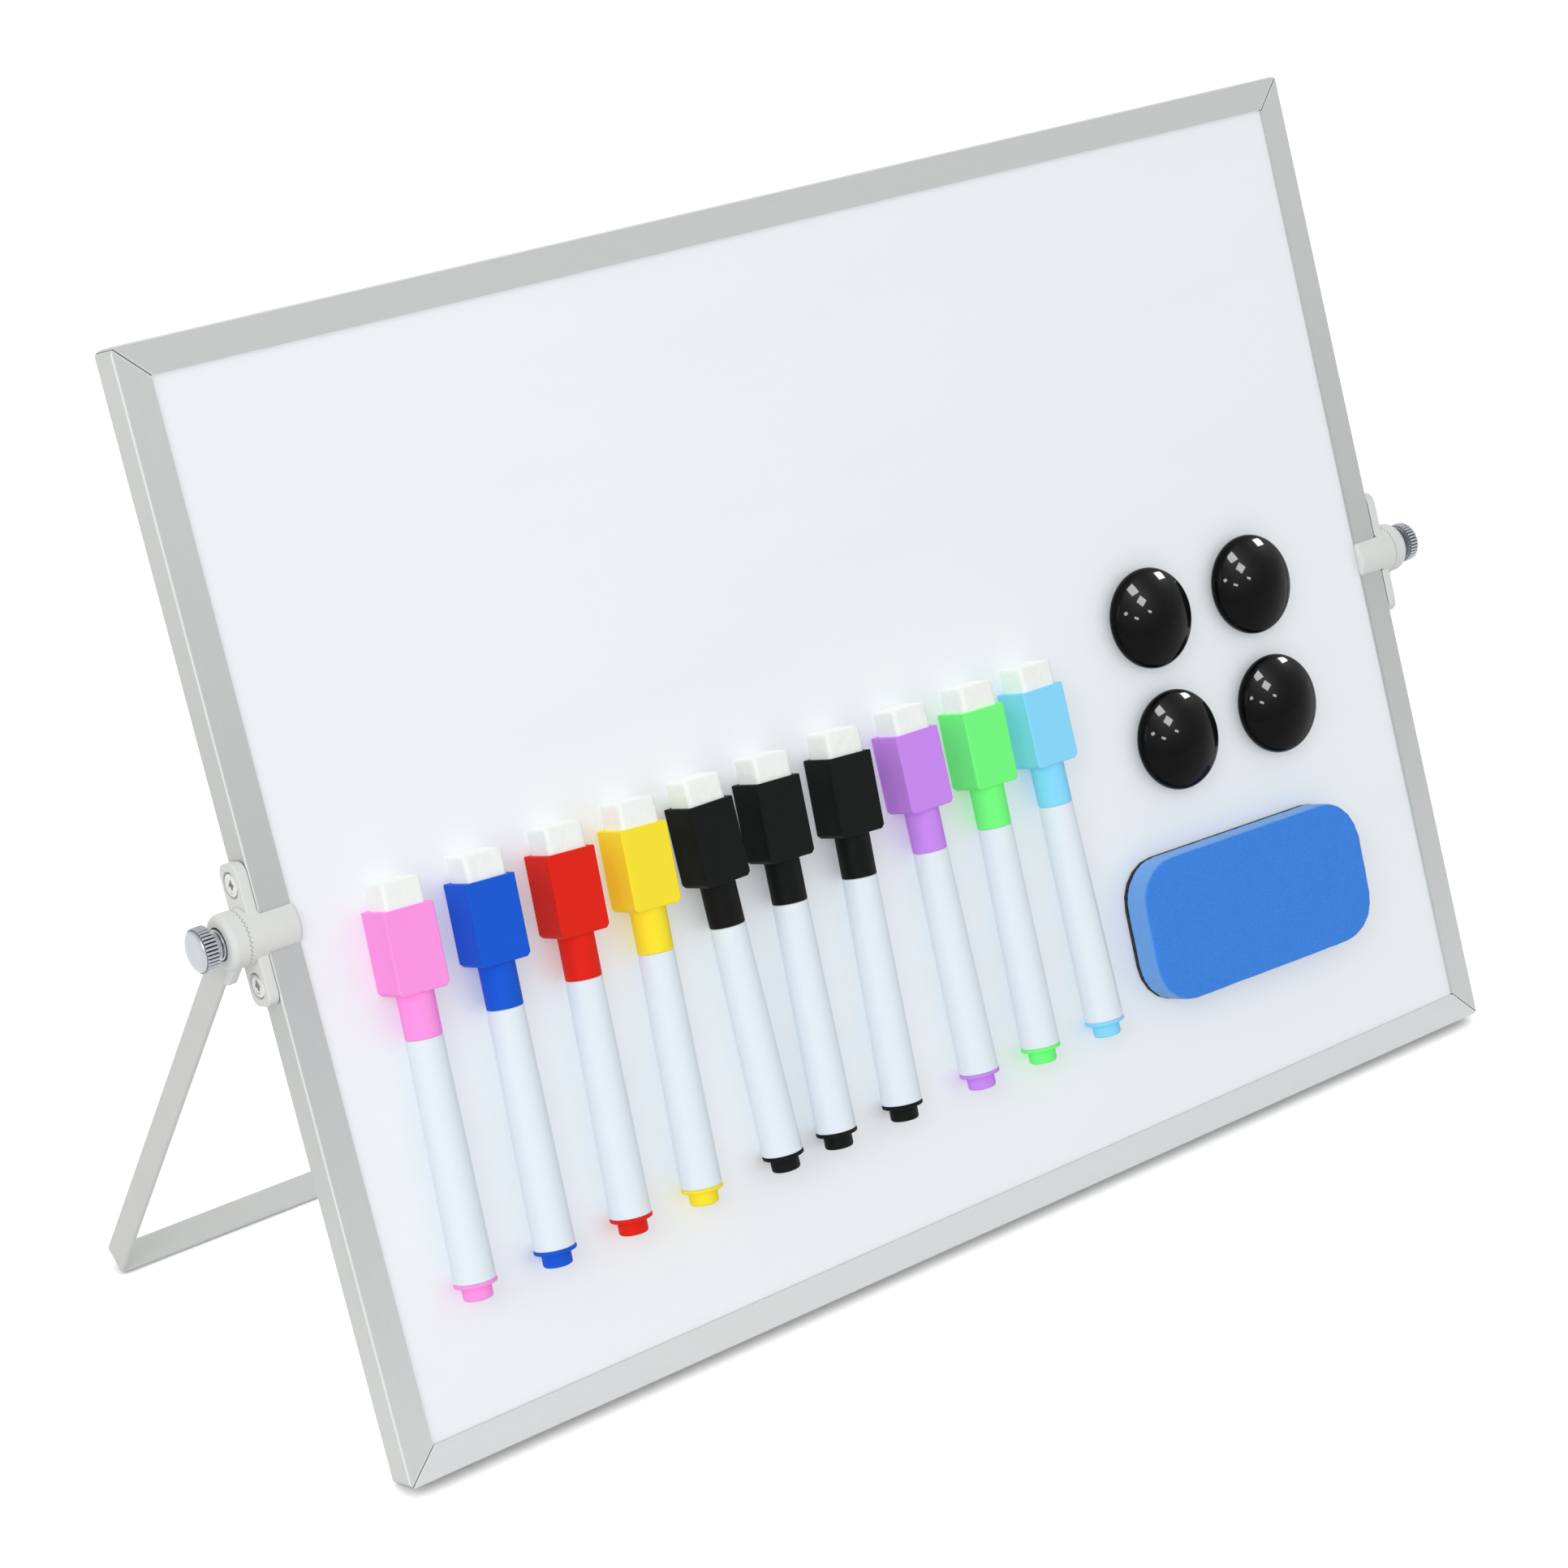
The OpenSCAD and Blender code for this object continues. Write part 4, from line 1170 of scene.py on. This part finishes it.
class EASEL_OT_caps(bpy.types.Operator):
    """Mould the markers' caps and set a disc magnet in the back of each"""

    bl_idname = "easel.caps"
    bl_label = "Caps"

    def execute(self, context):
        edge = settings()[0].cap_edge / MM
        plastics = ink_finishes(cap_plastic, "cap")
        steel = plated_steel("cap_magnet_plating", CAP_MAGNET_STEEL, 0.2)
        neck, stem_r, chamfer, bend = 12, 4.95, 1, 0.6
        well_w, well_d, well_h, magnet_r, magnet_t, play = 12.1, 10.3, 2.6, 4, 1.4, 0.05
        upright = Matrix.Rotation(RIGHT_ANGLE, 4, "X")
        stem = pin(stem_r, 0, neck + 1, 0.2, SHARP, 56)
        socket = lathe([(0, -1), (3.56, -1), (3.56, 7.1), (2.5, 7.1), (2.5, 13.5), (0, 13.5)], 40)
        for _, node, where, _, high in each_marker("cap"):
            x, y, top = high
            front = [
                (-x + chamfer, neck, bend), (x - chamfer, neck, bend), (x, neck + chamfer, bend),
                (x, top, 0.3), (-x, top, 0.3), (-x, neck + chamfer, bend)]
            cap = form(node + "_block", moved(prism(front, -y, y, edge, edge), upright))
            well = prism(box_corners(well_w, well_d, 0.5), top - well_h, top + 1)
            back = Matrix.Translation((0, 0, (neck + top) / 2)) @ upright.inverted()
            carve(cap, "UNION", stem)
            seat = drill(magnet_r + play, y - magnet_t - play, y + 1, 40)
            carve(cap, "DIFFERENCE", socket, well, moved(seat, back))
            finish_piece(cap, where, node, plastics[SLOTS[node]], node)
            disc = moved(pin(magnet_r, y - magnet_t, y, 0.15, 0.15, 40), back)
            finish_piece(form(node + "_magnet", disc), where, node, steel)
        return {"FINISHED"}


class EASEL_OT_pads(bpy.types.Operator):
    """Cut the felt pads on the caps"""

    bl_idname = "easel.pads"
    bl_label = "Felt pads"

    def execute(self, context):
        sizes, colours, _ = settings()
        fibre = felt("pad_felt", colours.felt)
        skin, apart = 0.1, 20
        for number, (body, node, where, low, high) in enumerate(each_marker("pad"), 1):
            corners = box_corners(high.x - low.x - skin, high.y - low.y - skin, 1.1)
            pad = prism(corners, low.z + skin, high.z - skin, 0.3, 0.9)
            pad = form(body + "_felt_pad", pad)
            # Each pad goes through another stretch of the noise, so that no two are alike
            aside = Matrix.Translation((number * apart * MM, 0, 0))
            pad.data.transform(aside)
            ragged(pad, cell=0.42, depth=sizes.felt_depth / MM, bumps=420)
            pad.data.transform(aside.inverted())
            finish_piece(pad, where, body + "_cap", fibre, node, crease=80)
        return {"FINISHED"}


# The lamps that the magnets mirror: direction from the magnets, width, height, turn in degrees
WINDOWS = (
    (0.835, -0.09, 0.545, 0.36, 0.22, -48), (0.11, -0.49, 0.86, 0.34, 0.38, 0),
    (0.19, -0.72, 0.67, 0.3, 0.28, 25), (-0.28, -0.79, 0.54, 0.13, 0.11, 20),
    (-0.07, -0.91, 0.41, 0.08, 0.17, 60), (0.3, -0.85, 0.44, 0.08, 0.15, 50),
)
WINDOW_REACH = 1.6
MAGNETS_MIDDLE = (123, -4, -15)  # in millimetres from the board's middle
KEY_SPOT, KEY_SIZE = (-3.6, -2.3, 3.2), 2.6
FILL_SPOTS, FILL_SIZE = {"front_fill": (-1.7, -2.1, 1.5), "back_fill": (1.2, 2.3, 1.6)}, 1.5
FLOOR_REACH = 30
# The floor's darkening near a foot is a painted shadow
SHADOW_REACH = 10  # how many millimetres from a foot the floor is darker


def lamp(name, spot, target, width, height, power, turn=0.0):
    """A flat lamp that looks at a point."""
    data = bpy.data.lights.new(name, "AREA")
    data.shape = "RECTANGLE"
    data.size = width
    data.size_y = height
    data.energy = power
    made = added(name, data)
    made.location = spot
    aim = (Vector(target) - Vector(spot)).to_track_quat("-Z", "Y").to_matrix()
    made.rotation_euler = (aim @ Matrix.Rotation(math.radians(turn), 3, "Z")).to_euler()
    made.visible_camera = False
    return made


def hang_windows(brightness):
    """Small bright lamps that light nothing but the magnets, and only as mirrored squares."""
    polished = bpy.data.collections.new("polished_magnets")
    for number in MAGNETS:
        polished.objects.link(bpy.data.objects[f"magnet_{number}_dome"])
    magnets = BOARD @ (Vector(MAGNETS_MIDDLE) * MM)
    for i, (x, y, z, width, height, turn) in enumerate(WINDOWS):
        spot = magnets + WINDOW_REACH * Vector((x, y, z)).normalized()
        power = brightness * math.pi * width * height
        window = lamp(f"window_{i + 1}", spot, magnets, width, height, power, turn)
        window.visible_diffuse = False
        window.light_linking.receiver_collection = polished


def lay_floor():
    """A pale floor, white away from the shadow, also when mirrored; painted shadow near the feet.
    """
    data = bpy.data.meshes.new("floor")
    corners = [(x * FLOOR_REACH, y * FLOOR_REACH, 0)
               for x, y in ((-1, -1), (1, -1), (1, 1), (-1, 1))]
    data.from_pydata(corners, [], [(0, 1, 2, 3)])
    floor = added("floor", data)
    finish = blank("pale_floor")
    # Painted shadow: ambient occlusion darkens the floor near the feet, for camera and mirror rays
    near = finish.node("AmbientOcclusion", {"samples": 8}, {"Distance": SHADOW_REACH * MM}, 1)
    touch = finish.ramp(near, (0.3, 0.0), (0.75, 1.0))
    shade = 0.9 + (finish.ray("Camera") + finish.ray("Glossy")) * (0.25 + 0.65 * touch)
    paper = finish.node("BsdfDiffuse", inputs={"Color": shade})
    finish.node("OutputMaterial", inputs={"Surface": paper})
    data.materials.append(finish.owner)
    floor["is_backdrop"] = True
    return floor


def surround(strength):
    """A world that lights evenly and is plain white wherever it is seen or mirrored."""
    sky = Finish(bpy.data.worlds.new("white_surroundings"))
    bpy.context.scene.world = sky.owner
    seen = sky.ray("Camera") + sky.ray("Glossy") + sky.ray("Transmission")
    level = strength + (1 - strength) * seen
    light = sky.node("Background", inputs={"Color": (1, 1, 1, 1), "Strength": level})
    sky.node("OutputWorld", inputs={"Surface": light})


class EASEL_OT_stage(bpy.types.Operator):
    """Set up the floor, the lamps, the white surroundings and the camera"""

    bl_idname = "easel.stage"
    bl_label = "Stage"

    def execute(self, context):
        studio = settings()[2]
        scene = context.scene
        scene.view_settings.view_transform = "Standard"
        middle = sum(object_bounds(), Vector()) / 2
        floor = lay_floor()
        surround(studio.sky)

        lamp("key_lamp", KEY_SPOT, middle, KEY_SIZE, KEY_SIZE, studio.key)
        lit = bpy.data.collections.new("evenly_lit_pieces")
        for piece in scene.objects:
            if piece.type == "MESH" and piece != floor:
                lit.objects.link(piece)
        for name, spot in FILL_SPOTS.items():
            fill = lamp(name, spot, middle, FILL_SIZE, FILL_SIZE, studio.fill)
            fill.data.use_shadow = False
            fill.visible_glossy = False
            fill.light_linking.receiver_collection = lit
        hang_windows(studio.window)

        camera_data = bpy.data.cameras.new("camera")
        camera_data.lens = studio.lens
        camera_data.sensor_width = 36
        camera = added("camera", camera_data)
        camera.location = studio.camera_spot
        camera.rotation_euler = studio.camera_turn
        scene.camera = camera
        return {"FINISHED"}


STEPS = (
    EASEL_OT_rails, EASEL_OT_panel, EASEL_OT_brackets, EASEL_OT_fasteners, EASEL_OT_hubs,
    EASEL_OT_bar, EASEL_OT_thumbscrews, EASEL_OT_magnets, EASEL_OT_eraser, EASEL_OT_barrels,
    EASEL_OT_refills, EASEL_OT_caps, EASEL_OT_pads, EASEL_OT_stage,
)
GROUPS = {"easel_sizes": EaselSizes, "easel_colours": EaselColours, "easel_studio": EaselStudio}


class EASEL_PT_panel(bpy.types.Panel):
    """The easel's steps and settings in the sidebar"""

    bl_idname = "EASEL_PT_panel"
    bl_label = "Whiteboard Easel"
    bl_space_type = "VIEW_3D"
    bl_region_type = "UI"
    bl_category = "Easel"

    def draw(self, context):
        for step in STEPS:
            self.layout.operator(step.bl_idname)
        for name, group in GROUPS.items():
            box = self.layout.box()
            for field in group.__annotations__:
                box.prop(getattr(context.scene, name), field)


def register():
    for group in GROUPS.values():
        bpy.utils.register_class(group)
    for kind in (*STEPS, EASEL_PT_panel):
        bpy.utils.register_class(kind)
    for name, group in GROUPS.items():
        setattr(bpy.types.Scene, name, PointerProperty(type=group))


def unregister():
    for name in GROUPS:
        delattr(bpy.types.Scene, name)
    for kind in (EASEL_PT_panel, *reversed(STEPS)):
        bpy.utils.unregister_class(kind)
    for group in reversed(GROUPS.values()):
        bpy.utils.unregister_class(group)


def main():
    """Runs every step in order."""
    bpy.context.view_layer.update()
    register()
    for step in STEPS:
        group, name = step.bl_idname.split(".")
        getattr(getattr(bpy.ops, group), name)()


if __name__ == "__main__":
    main()
